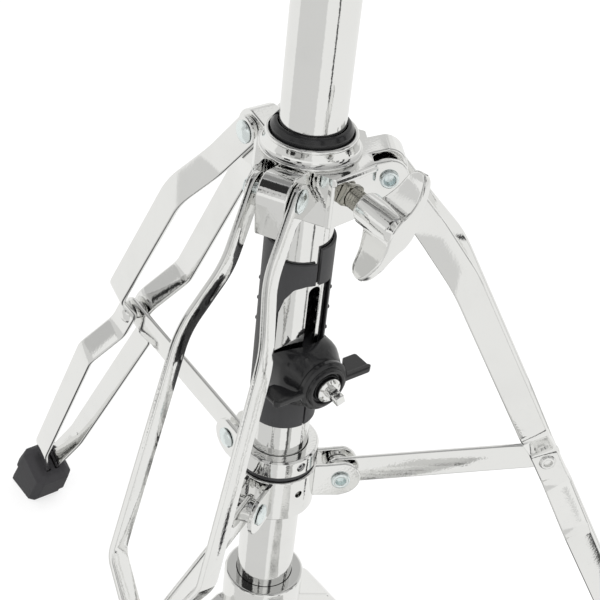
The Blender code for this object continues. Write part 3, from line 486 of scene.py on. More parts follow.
def slab(name, outline, low, high, edge=0.5, placement=Matrix(), corner=0.0, segments=3):
    """A flat piece between two heights of the placement's Z, with both its rims rounded."""
    line = rounded(outline, corner) if corner else outline
    bm = bmesh.new()
    face = bm.faces.new([bm.verts.new((p[0] * MM, p[1] * MM, low * MM)) for p in line])
    made = bmesh.ops.extrude_face_region(bm, geom=[face])
    moved = [v for v in made["geom"] if isinstance(v, bmesh.types.BMVert)]
    bmesh.ops.translate(bm, vec=(0, 0, (high - low) * MM), verts=moved)
    if edge:
        rims = [e for e in bm.edges if abs(e.verts[0].co.z - e.verts[1].co.z) < 1e-9]
        bmesh.ops.bevel(
            bm, geom=rims, offset=edge * MM, offset_type="OFFSET", segments=segments, profile=0.5, affect="EDGES",
            clamp_overlap=True, material=-1,
        )
    return finish_mesh(name, bm, placement)


def box(name, low, high, edge=0.5, placement=Matrix(), segments=3):
    """A block between two corners with every edge rounded."""
    bm = bmesh.new()
    bmesh.ops.create_cube(bm, size=1.0)
    size = Vector(high) - Vector(low)
    middle = (Vector(high) + Vector(low)) / 2
    bmesh.ops.scale(bm, vec=size * MM, verts=bm.verts)
    bmesh.ops.translate(bm, vec=middle * MM, verts=bm.verts)
    if edge:
        bmesh.ops.bevel(
            bm, geom=bm.edges[:], offset=edge * MM, offset_type="OFFSET", segments=segments, profile=0.5,
            affect="EDGES", clamp_overlap=True, material=-1,
        )
    return finish_mesh(name, bm, placement)


def loft(name, sections, placement=Matrix(), sharp=35.0):
    """Extrudes the first section through all the others, point by point. Points are in mm."""
    bm = bmesh.new()
    face = bm.faces.new([bm.verts.new(Vector(p) * MM) for p in sections[0]])
    for index, section in enumerate(sections[1:]):
        made = bmesh.ops.extrude_face_region(bm, geom=[face])
        if index:
            bm.faces.remove(face)
        face = next(item for item in made["geom"] if isinstance(item, bmesh.types.BMFace))
        for vert, point in zip(face.verts, section):
            vert.co = Vector(point) * MM
    return finish_mesh(name, bm, placement, sharp)


def bar(name, path, radius, sides=24):
    """A round bar along a path of points, made as a bevelled curve."""
    curve = bpy.data.curves.new(name, "CURVE")
    curve.dimensions = "3D"
    curve.bevel_depth = radius * MM
    curve.bevel_resolution = sides // 4
    curve.use_fill_caps = True
    spline = curve.splines.new("POLY")
    spline.points.add(len(path) - 1)
    for point, where in zip(spline.points, path):
        point.co = (*(Vector(where) * MM), 1.0)
    made = bpy.data.objects.new(name, curve)
    bpy.context.scene.collection.objects.link(made)
    mesh = bpy.data.meshes.new_from_object(made.evaluated_get(bpy.context.evaluated_depsgraph_get()))
    bpy.data.objects.remove(made)
    bm = bmesh.new()
    bm.from_mesh(mesh)
    return finish_mesh(name, bm, Matrix(), 50.0)


def baked(obj):
    """Applies an object's modifiers and returns it."""
    mesh = bpy.data.meshes.new_from_object(obj.evaluated_get(bpy.context.evaluated_depsgraph_get()))
    obj.modifiers.clear()
    obj.data = mesh
    return obj


def combined(obj, others, operation):
    """The object joined with others, or cut by them. The others are used up."""
    for other in others:
        modifier = obj.modifiers.new("join", "BOOLEAN")
        modifier.operation = operation
        modifier.solver = "EXACT"
        modifier.object = other
    baked(obj)
    for other in others:
        bpy.data.objects.remove(other)
    return obj


def fuse(obj, *others):
    return combined(obj, others, "UNION")


def cut(obj, *others):
    return combined(obj, others, "DIFFERENCE")


def gather(name, pieces):
    """Several closed shells in one mesh, for parts of a piece that are pressed or welded together."""
    bm = bmesh.new()
    for piece in pieces:
        bm.from_mesh(piece.data)
        bpy.data.objects.remove(piece)
    return finish_mesh(name, bm)


def sharpened(obj, sharp=35.0):
    """Smooth faces with sharp edges past an angle, after a cut."""
    obj.data.shade_smooth()
    obj.data.set_sharp_from_angle(angle=math.radians(sharp))
    return obj


def soften(obj, width, segments=2, angle=30.0):
    """Rounds an object's edges by a width in mm and evens out its shading."""
    bevel = obj.modifiers.new("edge_round", "BEVEL")
    bevel.width = width * MM
    bevel.segments = segments
    bevel.limit_method = "ANGLE"
    bevel.angle_limit = math.radians(angle)
    obj.data.shade_smooth()
    return even(obj)


def even(obj):
    weighted = obj.modifiers.new("even_shading", "WEIGHTED_NORMAL")
    weighted.keep_sharp = True
    return obj


def settle(obj, node, *others, slot=None):
    """Gives an object its finish, lets it ride on the node's body and stand for the nodes."""
    slot = slot or SLOT_OF[node]
    obj.name = node + "_finished"
    obj.data.materials.clear()
    obj.data.materials.append(finish_of(slot))
    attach(obj, BODY_OF[node])
    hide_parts(node, *others)
    return obj


def carry_over(node, width=0.4, angle=30.0):
    """A CAD node's shape with its loose triangles merged and its edges rounded."""
    mesh = frame["nodes"][node].data.copy()
    bm = bmesh.new()
    bm.from_mesh(mesh)
    bmesh.ops.remove_doubles(bm, verts=bm.verts, dist=1e-6)
    bmesh.ops.dissolve_limit(bm, angle_limit=math.radians(1.0), verts=bm.verts, edges=bm.edges)
    obj = finish_mesh(node + "_finished", bm, Matrix(), angle)
    soften(obj, width, 2, angle)
    return settle(obj, node)


# Pieces


def strip_line():
    """Centre (radius, height), outer face's offset and half width at each station down a strip."""
    pivot = Vector(HUB_PIVOT)
    back = (pivot - Vector(FIRST_BEND)).normalized()
    half = STRIP_WIDTH / 2
    stations = []
    for a in (84, 74, 64, 54, 44, 34, 24, 12, 0):
        turn = math.radians(a)
        centre = pivot + back * half * math.sin(turn)
        stations.append((Vector((*centre, HUB_HALF)), half * math.cos(turn)))
    bends = [(*FIRST_BEND, HUB_HALF, 7.0), (*SECOND_BEND, SECOND_BEND_HALF, 9.0)]
    bends += [(*leg_point(distance), side, 4.5) for distance, side in STRIP_SPREAD]
    bends.append((*leg_point(STRIP_END), STRIP_SPREAD[-1][1], 0.0))
    line = [stations[-1][0]] + [Vector(bend[:3]) for bend in bends]
    for i, bend in enumerate(bends[:-1], 1):
        here = line[i]
        before, after = line[i - 1] - here, line[i + 1] - here
        reach = min(bend[3], 0.45 * before.length, 0.45 * after.length)
        start, end = here + before.normalized() * reach, here + after.normalized() * reach
        for k in range(9):
            t = k / 8
            point = start * (1 - t) ** 2 + here * 2 * t * (1 - t) + end * t * t
            stations.append((point, half))
    stations.append((line[-1], half))
    return stations


def make_strip(node, leg, side):
    """One bent flat strip of a leg with its half of the pinch rivet. side is +1 or -1."""
    stations = strip_line()
    out, across = leg_axes(LEG_AZIMUTHS[leg])
    edge = 0.9
    half_thick = STRIP_THICK / 2

    def in_space(point):
        return out * point[0] + Vector((0, 0, point[1])) + across * side * point[2]

    sections = []
    for i, (centre, half) in enumerate(stations):
        before = stations[max(i - 1, 0)][0]
        after = stations[min(i + 1, len(stations) - 1)][0]
        along = (after - before).normalized()
        wide = Vector((-along.y, along.x, 0)).normalized()
        thick = along.cross(wide)
        if thick.z < 0:
            thick = -thick
        middle = centre - thick * half_thick
        past = (leg_point(0)[1] - centre[1]) / math.sin(math.radians(LEG_SLOPE)) / PINCH_AT
        twist = math.radians(STRIP_TWIST.get(node, 0.0)) * max(0.0, math.sin(math.pi * min(max(past, 0.0), 1.0))) ** 0.5
        wide, thick = wide * math.cos(twist) - thick * math.sin(twist), thick * math.cos(twist) + wide * math.sin(twist)
        corners = [(-half, -half_thick), (half, -half_thick), (half, half_thick), (-half, half_thick)]
        ring = rounded(corners, min(edge, half * 0.8), True, 4)
        sections.append([in_space(middle + wide * w + thick * t) for w, t in ring])
    strip = loft(node, sections, Matrix(), 40.0)
    face = STRIP_SPREAD[1][1]
    tip = STRUT_THICK / 2 + GAP
    r, z = leg_point(PINCH_AT)
    pin_place = place(in_space((r, z, 0.0)), across * side, out)
    if side > 0:
        head = [(0, face + 2.2), (2.2, face + 2.05, 3.0), (4.3, face + 1.1, 2.0), (5.3, face + 0.1), (5.2, face - 0.6)]
    else:
        head = [(0, face - 1.5), (1.7, face - 1.5), (2.2, face + 1.3, 0.5), (3.7, face + 1.3, 0.9), (4.7, face - 0.5)]
    shank = [(4.5, face - 0.9), (4.5, tip), (0, tip)]
    pin = lathe("pin", head + shank, pin_place, 48, 0.2)
    made = gather(node, [strip, pin])
    sharpened(made, 40.0)
    settle(made, node)


def make_leg(leg):
    make_strip(f"leg_{leg}_strip_a", leg, 1)
    make_strip(f"leg_{leg}_strip_b", leg, -1)


def make_rivet(node, azimuth, point, head_at, ring_at, ring_r=4.9):
    """A tubular rivet across a leg's plane: a domed head on the + side and a rolled rim on the - side."""
    profile = [
        (0, head_at + 2.2),
        (2.4, head_at + 2.0, 4.0),
        (4.3, head_at + 1.15, 1.5),
        (5.3, head_at + 0.5, 0.5),
        (5.3, head_at, 0.2),
        (2.5, head_at, 0.1),
        (2.5, -ring_at, 0.1),
        (ring_r, -ring_at, 0.5),
        (ring_r - 0.4, -ring_at - 1.4, 0.9),
        (2.6, -ring_at - 1.4, 0.7),
        (2.2, -ring_at + 1.5, 0.2),
        (0, -ring_at + 1.5),
    ]
    settle(lathe(node, profile, across_leg(azimuth, point), 64, 0.3), node)


def make_strut(leg):
    """The flat link between the lower hub and the pinch of a leg, with its boss on the hub's rivet."""
    azimuth = LEG_AZIMUTHS[leg]
    end = leg_point(PINCH_AT)
    rise = math.degrees(math.atan2(end[1] - LOW_PIVOT[1], end[0] - LOW_PIVOT[0]))
    half = STRUT_WIDTH / 2
    outline = arc(end, half, rise - 90, rise + 90, 25) + arc(LOW_PIVOT, half, rise + 90, rise + 270, 25)
    thick = STRUT_THICK / 2
    link = slab("strut", outline, -thick, thick, 0.8, leg_place(azimuth), 0.0, 4)
    boss_half = EAR_INNER - GAP
    boss = [(2.6, boss_half), (6.0, boss_half), (6.0, -boss_half), (2.6, -boss_half)]
    ring = lathe("boss", boss, across_leg(azimuth, LOW_PIVOT), 64, 0.4)
    node = f"strut_{leg}"
    settle(sharpened(gather(node, [link, ring]), 40.0), node)


def make_foot(leg):
    """A faceted rubber foot on the end of a leg, flat on the floor."""
    out, across = leg_axes(LEG_AZIMUTHS[leg])
    a = math.radians(LEG_SLOPE)
    along = out * math.cos(a) - Vector((0, 0, math.sin(a)))
    normal = out * math.sin(a) + Vector((0, 0, math.cos(a)))

    def section(distance, half_t, half_n, chamfer, radius, floor=0.0):
        r, z = leg_point(distance)
        centre = out * r + Vector((0, 0, z))
        corners = [(half_t - chamfer, half_n), (-half_t + chamfer, half_n), (-half_t, half_n - chamfer)]
        corners += [(-half_t, -half_n + chamfer), (-half_t + chamfer, -half_n), (half_t - chamfer, -half_n)]
        corners += [(half_t, -half_n + chamfer), (half_t, half_n - chamfer)]
        found = []
        for t, n in rounded(corners, radius, True, 3):
            point = centre + across * t + normal * n
            if floor:
                point = point + along * ((point.z - floor) / math.sin(a))
            found.append(point)
        return found

    sections = [
        section(FOOT_FROM, 7.6, 9.6, 2.2, 1.0),
        section(FOOT_FROM + 0.1, 8.6, 10.6, 2.4, 1.2),
        section(FOOT_FROM + 0.8, 9.6, 11.6, 2.7, 1.4),
        section(FOOT_FROM + 4.2, 12.4, 14.0, 3.8, 1.6),
        section(FOOT_FROM + 5.6, 12.9, 14.5, 4.0, 1.6),
        section(FOOT_FROM + 23.0, 13.4, 15.4, 4.0, 1.6),
        section(FOOT_FROM + 24.0, 13.0, 15.0, 3.9, 1.6),
        section(FOOT_FROM + 24.2, 12.0, 13.6, 3.2, 1.4),
        section(FOOT_FROM + 24.2, 12.0, 13.5, 3.0, 1.4, 0.8),
        section(FOOT_FROM + 24.2, 11.3, 12.8, 3.0, 1.4, 0.02),
    ]
    foot = loft("foot", sections, Matrix(), 30.0)
    pockets = []
    for sign in (1, -1):
        outer = STRIP_SPREAD[-1][1] + GAP
        inner = STRIP_SPREAD[-1][1] - STRIP_THICK - GAP
        width = STRIP_WIDTH / 2 + GAP
        r, z = leg_point(FOOT_FROM - 4)
        low = (-width, min(sign * inner, sign * outer), 0)
        high = (width, max(sign * inner, sign * outer), STRIP_END + GAP - FOOT_FROM + 4)
        pockets.append(box("pocket", low, high, 0, place(out * r + Vector((0, 0, z)), along, normal)))
    node = f"foot_{leg}"
    settle(even(sharpened(cut(foot, *pockets), 30.0)), node)


def hub_outline(grow, web_leg=None):
    """The upper hub seen from above: a corner post, a side and an ear root for each leg."""
    points = []
    side = HUB_HALF + GAP
    for name in ("left", "right", "back"):
        out, across = leg_axes(LEG_AZIMUTHS[name])
        post_r, post_t = HUB_POSTS[name]
        root = (EAR_BEND_R + grow, -side - EAR_THICK + 0.5 - grow)
        corners = [root, (EAR_BEND_R - 1.0, -side - 0.7), (BODY_FACE_R, -side - 0.7)]
        if name == web_leg:
            corners = [root, (25.5, -side - 0.7), (25.5, 14.0), (BODY_FACE_R + 1.0, post_t - 1.0)]
        corners += [(BODY_FACE_R, post_t - 3.0), (post_r, post_t - 1.2), (post_r - 0.6 + grow, post_t + grow)]
        for r, t in corners:
            point = out * r + across * t
            points.append((point.x, point.y))
    return points


def make_upper_hub():
    """The pressed hub body with its top plate, rolled ring, three lugs and three ears."""
    body = slab("hub_body", hub_outline(0), HUB_LOW, HUB_TOP - 1.9, 0.6, Matrix(), 0.8)
    levels = ((3.6, 0.1), (2.9, 0.55), (1.9, 0.55), (0.95, 0.05), (0.45, 0.05), (0.0, -0.2))
    outlines = [(down, rounded(hub_outline(grow, "right"), 1.0, True, 5)) for down, grow in levels]
    lid = loft("hub_lid", [[(x, y, HUB_TOP - down) for x, y in found] for down, found in outlines], Matrix(), 20.0)
    lip = arc((BUSH_R + 1.3, RING_TOP - 1.0), 1.0, 180, -38, 15)
    flare = []
    for k in range(13):
        t = k / 12
        r = (BUSH_R + 2.0) * (1 - t) ** 2 + 2 * t * (1 - t) * (BUSH_R + 1.9) + t * t * (RING_R + 0.7)
        z = (RING_TOP - 1.7) * (1 - t) ** 2 + 2 * t * (1 - t) * (HUB_TOP + 2.2) + t * t * (HUB_TOP + 1.3)
        flare.append((r, z))
    foot = arc((RING_R + 0.7, HUB_TOP + 0.6), 0.7, 80, -20, 6)
    ring_profile = [*lip, *flare, *foot, (RING_R + 0.4, HUB_TOP - 0.5), (BUSH_R + 0.3, HUB_TOP - 0.5)]
    parts = [body, lid]
    for leg, azimuth in LEG_AZIMUTHS.items():
        nose = arc(HUB_PIVOT, NOSE_R, -8, 90, 25)
        foot_r = HUB_PIVOT[0] + NOSE_R - 2.2
        lug = [(16, HUB_LOW + 0.4), (foot_r, HUB_LOW + 0.4), *nose, (19, HUB_PIVOT[1] + NOSE_R - 3.6)]
        parts.append(slab("lug", lug, -LUG_NEAR, LUG_FAR, 0.8, leg_place(azimuth), 0.0, 4))
        thick, nose_r = EARS[leg]
        ear = [(EAR_BEND_R - 4, HUB_LOW + 0.5), (HUB_PIVOT[0] - 1, HUB_LOW + 0.5)]
        ear += arc(HUB_PIVOT, nose_r, -50, 90, 21) + [(EAR_BEND_R - 4, HUB_PIVOT[1] + 6.4)]
        side = HUB_HALF + GAP
        parts.append(slab("ear", ear, side, side + thick, min(0.7, 0.4 * thick), leg_place(azimuth), 0.0, 4))
    hub = fuse(parts[0], *parts[1:])
    seat = BUSH_R + GAP
    bore = [(0, HUB_LOW - 2), (14.9, HUB_LOW - 2), (14.9, BUSH_SEAT), (seat, BUSH_SEAT), (seat, BUSH_TOP), (0, BUSH_TOP)]
    holes = [lathe("bore", bore, Matrix(), 128, 0)]
    holes.append(lathe("wing_hole", [(0, 16), (4.8, 16), (4.8, 40), (0, 40)], front(WING_Z), 48, 0))
    for azimuth in LEG_AZIMUTHS.values():
        pin = [(0, -20), (2.8, -20), (2.8, 12), (0, 12)]
        holes.append(lathe("pin_hole", pin, across_leg(azimuth, HUB_PIVOT), 32, 0))
    cut(hub, *holes)
    ring = lathe("hub_ring", ring_profile, Matrix(), 192, 0)
    made = gather("upper_hub", [hub, ring])
    settle(even(sharpened(made, 35.0)), "upper_hub")


def make_hub_bush():
    inner = TUBE_R + GAP
    profile = [
        (inner + 0.5, BUSH_TOP, 0.4),
        (BUSH_R - 1.4, BUSH_TOP - 0.3, 1.3),
        (BUSH_R, BUSH_TOP - 2.4, 1.2),
        (BUSH_R, BUSH_SEAT + GAP, 0.2),
        (inner, BUSH_SEAT + GAP, 0.2),
        (inner, BUSH_TOP - 0.6, 0.4),
    ]
    bush = lathe("bush", profile, Matrix(), 160)
    outline = arc((0, 0), 20, 126, 134, 5) + arc((0, 0), 12, 134, 126, 5)
    cut(bush, slab("slit", outline, 380, 415, 0))
    settle(even(sharpened(bush, 40.0)), "hub_bush")


def thread(radius, depth, pitch, low, high, placement):
    """A helical V thread on a solid core between two heights, its ends tucked away inside."""
    steps = 32
    teeth = int((high - low) / pitch)
    columns = []
    bm = bmesh.new()
    for i in range(steps):
        a = 2 * math.pi * i / steps
        column = []
        for k in range(teeth):
            base = low + pitch * (k + i / steps)
            for part, share in ((0.0, 0.0), (0.15, 0.0), (0.5, 1.0), (0.65, 1.0)):
                r = (radius - depth * (1 - share)) * MM
                column.append(bm.verts.new((r * math.cos(a), r * math.sin(a), (base + part * pitch) * MM)))
        columns.append(column)
    per = 4
    for i in range(steps):
        one, two = columns[i], columns[(i + 1) % steps]
        shift = per if i == steps - 1 else 0
        for k in range(len(one) - 1 - shift):
            bm.faces.new((one[k + shift], two[k], two[k + 1], one[k + 1 + shift]))
    for loop_edges in open_loops(bm):
        bmesh.ops.contextual_create(bm, geom=loop_edges)
    return finish_mesh("thread", bm, placement, 60.0)


def open_loops(bm):
    """The edge loops round the holes of a mesh."""
    left = {e for e in bm.edges if e.is_boundary}
    loops = []
    while left:
        edge = left.pop()
        loop = [edge]
        queue = list(edge.verts)
        while queue:
            for other in queue.pop().link_edges:
                if other in left:
                    left.discard(other)
                    loop.append(other)
                    queue += other.verts
        loops.append(loop)
    return loops


def smooth_between(table, x):
    """Values of a table at x, its columns carried through the rows as smooth curves."""
    for i, (one, two) in enumerate(zip(table, table[1:])):
        if x <= two[0]:
            span = two[0] - one[0]
            t = max((x - one[0]) / span, 0.0)
            before = table[max(i - 1, 0)]
            after = table[min(i + 2, len(table) - 1)]
            found = []
            for a, b, c, d in zip(before[1:], one[1:], two[1:], after[1:]):
                left = (c - a) / (two[0] - before[0]) * span if i else 0.0
                right = (d - b) / (after[0] - one[0]) * span
                found.append(
                    (2 * t**3 - 3 * t**2 + 1) * b
                    + (t**3 - 2 * t**2 + t) * left
                    + (3 * t**2 - 2 * t**3) * c
                    + (t**3 - t**2) * right
                )
            return found
    return list(table[-1][1:])


# A wing from its middle to its tip: distance out, half thickness of its web and of its far rim, near and far edge
WING_TABLE = (
    (0.0, 4.8, 6.0, 7.0, 27.2),
    (4.8, 4.5, 5.2, 7.4, 27.1),
    (7.0, 3.4, 4.1, 8.2, 27.0),
    (9.5, 2.8, 3.2, 9.4, 26.9),
    (13.5, 2.15, 2.45, 10.9, 26.5),
    (16.0, 2.0, 2.35, 11.7, 26.0),
    (19.0, 1.9, 2.3, 12.4, 25.0),
    (22.0, 1.9, 2.2, 13.3, 23.6),
    (24.0, 1.7, 2.0, 15.0, 22.1),
    (24.8, 1.4, 1.7, 16.5, 20.9),
    (25.1, 0.8, 1.0, 17.8, 20.0),
)


def make_wings(start, scale, placement):
    """Both wings of a cast screw in one piece, a thin web that flares into a crisp rim, their long axis along X."""
    stops = [row[0] for row in WING_TABLE]
    outs = []
    for a, b in zip(stops, stops[1:]):
        outs += [a + (b - a) * k / 5 for k in range(5)]
    outs.append(stops[-1])
    sections = []
    for x in [-out for out in reversed(outs[1:])] + outs:
        web, rim, near, far = smooth_between(WING_TABLE, abs(x))
        root = far - 1.5 - 2.6 * max(0.0, 1.0 - abs(x) / 9.0)
        side = []
        for k in range(9):
            t = k / 8
            y = web * (1 - t) ** 2 + 2 * t * (1 - t) * web + t * t * rim
            z = root * (1 - t) ** 2 + 2 * t * (1 - t) * (far - 1.35) + t * t * (far - 1.2)
            side.append((y, z))
        crown = [(rim + 0.1, far - 0.6, 0.3), (rim - 0.3, far - 0.05, 0.3), (0.5 * rim, far + 0.12, 0)]
        lip = rounded([side[-1], *crown, (-0.5 * rim, far + 0.12)], 0.3, False, 3)[1:-1]
        thin = max(web - 0.085 * (root - near), 0.6)
        heel = rounded([(thin + 0.2, near + 3.0), (thin, near, 0.9), (-thin, near, 0.9), (-thin - 0.2, near + 3.0)], 0, False, 5)
        right = [*side, *((p[0], p[1]) for p in lip)]
        left = [(-y, z) for y, z in reversed(right)]
        ring = right + left + [(p[0], p[1]) for p in reversed(heel)]
        sections.append([(x * scale, y * scale, start + z * scale) for y, z in ring])
    return loft("wings", sections, placement, 28.0)


def make_wing_screw(node, tip, screw_r, start, scale, placement, turn, thread_from, pitch):
    """A threaded screw along the placement's Z with a cast barrel and two wings on its end."""
    radius = 7.3 * scale
    barrel_profile = [
        (0, start + 26.4 * scale),
        (5.0 * scale, start + 26.4 * scale, 1.0),
        (radius - 0.3, start + 23.6 * scale, 3.0),
        (radius, start + 14.0 * scale, 4.0),
        (radius - 0.1, start + 3.4, 3.0),
        (radius - 2.6 * scale, start + 0.9, 1.4),
        (0, start + 0.9),
    ]
    barrel = lathe("barrel", barrel_profile, placement, 96, 0.8)
    spin = Matrix.Rotation(math.radians(turn), 4, "Z")
    wings = make_wings(start, scale, placement @ spin)
    head = fuse(barrel, wings)
    core = screw_r - 0.35 * pitch
    shank_profile = [
        (0, start + 1.4),
        (core, start + 1.4),
        (core, thread_from),
        (screw_r, thread_from - 0.5),
        (screw_r, tip + 0.7),
        (screw_r - 0.7, tip),
        (0, tip),
    ]
    settle(sharpened(head, 28.0), node)
    shank = lathe("shank", shank_profile, placement, 48, 0.1)
    ridges = thread(screw_r, 0.4 * pitch, pitch, thread_from - 0.4, start + 2.4, placement)
    settle(sharpened(gather(node, [shank, ridges]), 40.0), node, slot="nickel")


def make_square_nut():
    """The small square nut against the hub's front, crisp at its back and rounded at its face."""
    outline = [(4.9, 4.9), (-4.9, 4.9), (-4.9, -4.9), (4.9, -4.9)]
    turned = front(WING_Z) @ Matrix.Rotation(math.radians(-24.5), 4, "Z")
    back = slab("nut", outline, HUB_FRONT + 0.05, HUB_FRONT + 2.0, 0, turned, 1.4)
    face = slab("nut_face", outline, HUB_FRONT + 0.8, HUB_FRONT + 3.4, 1.3, turned, 1.4, 6)
    hole = lathe("bore", [(0, 20), (4.75, 20), (4.75, 40), (0, 40)], front(WING_Z), 48, 0)
    settle(even(sharpened(cut(fuse(back, face), hole), 40.0)), "square_nut")


def make_lower_hub():
    """The hub that carries the struts: a turned ring with three clevises and a set-screw hole."""
    bore = TUBE_R + GAP
    profile = [(LOW_HUB_R, LOW_HUB_TOP, 0.9), (LOW_HUB_R, LOW_HUB_LOW, 0.9), (bore, LOW_HUB_LOW), (bore, LOW_HUB_TOP)]
    hub = lathe("hub", profile, Matrix(), 160)
    ears = []
    for azimuth in LEG_AZIMUTHS.values():
        outline = [(16.5, 207.6), (LOW_PIVOT[0], 207.6)] + arc(LOW_PIVOT, 10.0, -70, 80, 25)
        outline += [(24.0, LOW_HUB_TOP - 0.4), (16.5, LOW_HUB_TOP - 0.4)]
        for sign in (1, -1):
            low, high = sorted((sign * EAR_INNER, sign * EAR_OUTER))
            ears.append(slab("ear", outline, low, high, 0.7, leg_place(azimuth), 0.0, 4))
    fuse(hub, *ears)
    holes = [lathe("set_hole", [(0, 12.0), (2.0, 12.0), (2.0, 24), (0, 24)], front(218.0), 32, 0)]
    for azimuth in LEG_AZIMUTHS.values():
        pin = [(0, -12), (2.8, -12), (2.8, 12), (0, 12)]
        holes.append(lathe("pin_hole", pin, across_leg(azimuth, LOW_PIVOT), 32, 0))
    cut(hub, *holes)
    settle(even(sharpened(hub, 35.0)), "lower_hub")


def make_collar():
    """The clamped collar with its grub screw, and the plastic washer under it."""
    bore = TUBE_R + GAP
    low = WASHER_TOP + GAP
    profile = [
        (COLLAR_R - 1.0, COLLAR_TOP, 0.5),
        (COLLAR_R, COLLAR_TOP - 1.0, 0.5),
        (COLLAR_R, low, 0.5),
        (bore, low),
        (bore, COLLAR_TOP, 0.4),
    ]
    collar = lathe("collar", profile, Matrix(), 160)
    hole = [(0, 12), (2.3, 12), (2.3, 19.4), (2.7, 20.2), (0, 24)]
    cut(collar, lathe("hole", hole, front(235.3), 48, 0))
    settle(even(sharpened(collar, 35.0)), "lower_collar")
    washer = [(19.0, WASHER_TOP, 0.6), (19.0, LOW_HUB_TOP + GAP, 0.6), (bore, LOW_HUB_TOP + GAP), (bore, WASHER_TOP)]
    settle(lathe("washer", washer, Matrix(), 128), "black_washer")
    grub_profile = [(0, 19.1), (1.5, 19.1), (2.0, 18.6), (2.0, 15.4), (1.2, 14.7), (0, 14.6)]
    grub = lathe("grub", grub_profile, front(235.3), 32, 0.1)
    key = slab("key", circle((0, 0), 1.0, 6), 17.2, 20, 0, front(235.3))
    settle(sharpened(cut(grub, key), 30.0), "grub_screw")


def make_tubes():
    profile = [(TUBE_R, TUBE_TOP, 0.4), (TUBE_R, TUBE_LOW, 0.4), (TUBE_BORE, TUBE_LOW, 0.4), (TUBE_BORE, TUBE_TOP, 0.4)]
    tube = lathe("tube", profile, Matrix(), 256)
    half = SLOT_WIDTH / 2
    outline = arc((0, SLOT_TOP - half), half, 0, 180, 25) + arc((0, SLOT_LOW + half), half, 180, 360, 25)
    cut(tube, slab("slot", outline, 4, 20, 0, front(0)))
    rim = tube.modifiers.new("slot_edge", "BEVEL")
    rim.width = 0.35 * MM
    rim.segments = 3
    rim.limit_method = "ANGLE"
    rim.angle_limit = math.radians(50)
    settle(even(sharpened(tube, 50.0)), "lower_tube")
    upper = [(11.1, 770.0), (11.1, 396.0), (9.6, 396.0), (9.6, 770.0)]
    settle(lathe("tube", upper, Matrix(), 160, 0.4), "upper_tube")


def make_sleeve():
    """The moulded sleeve round the tube, open in front, with its stepped top and small nubs."""
    inner = TUBE_R + GAP
    outer = inner + SLEEVE_WALL
    profile = [(outer, SLEEVE_TOP), (outer, SLEEVE_LOW), (inner, SLEEVE_LOW), (inner, SLEEVE_TOP)]
    sleeve = lathe("sleeve", profile, Matrix(), 256, 0.35)

    def sector(start, end, low, high, count=25):
        outline = arc((0, 0), 20, start, end, count) + arc((0, 0), 12, end, start, count)
        return slab("sector", outline, low, high, 0)

    def side_cut(outline):
        """A cutter seen from the camera's side of the stand, its flat outline pushed through the wall."""
        return slab("side_cut", outline, 2, 24, 0, place((0, 0, 0), leg_axes(-112.5)[0], leg_axes(-22.5)[0]), 0.0)

    corner = [(13.3, 339.2), (6.1, 339.9, 3.0), (0.7, 340.2, 3.0), (-4.8, 338.3, 4.0), (-8.6, 331.8, 4.0)]
    window = rounded([(-11.4, 275.6), (13.3, 275.6), *corner, (-11.2, 322, 3.0)], 0.6, True, 8)
    cut(sleeve, side_cut(window), sector(-88, -84, 250, 281), sector(-95, -88.5, 335, 370), sector(-170, -91, 351, 370))
    nubs = []
    for turn in (-42.0, 138.0):
        for z in NUB_HEIGHTS:
            out = leg_axes(turn)[0]
            where = place(out * (outer - 0.6) + Vector((0, 0, z)), out, (0, 0, 1))
            nubs.append(lathe("nub", [(0, 1.2), (0.5, 1.15), (1.1, 0.6), (1.1, -0.2), (0, -0.2)], where, 24, 0.4))
    rim = sleeve.modifiers.new("mould_edge", "BEVEL")
    rim.width = 0.3 * MM
    rim.segments = 2
    rim.limit_method = "ANGLE"
    rim.angle_limit = math.radians(50)
    baked(sleeve)
    settle(even(sharpened(gather("sleeve", [sleeve, *nubs]), 45.0)), "tube_sleeve")


def oval(half_x, half_y, power, count=64):
    """A rounded rectangle between an ellipse, at a power of 2, and a box."""
    found = []
    for i in range(count):
        a = 2 * math.pi * i / count
        c, d = math.cos(a), math.sin(a)
        x = math.copysign(abs(c) ** (2 / power), c) * half_x
        y = math.copysign(abs(d) ** (2 / power), d) * half_y
        found.append((x, y))
    return found


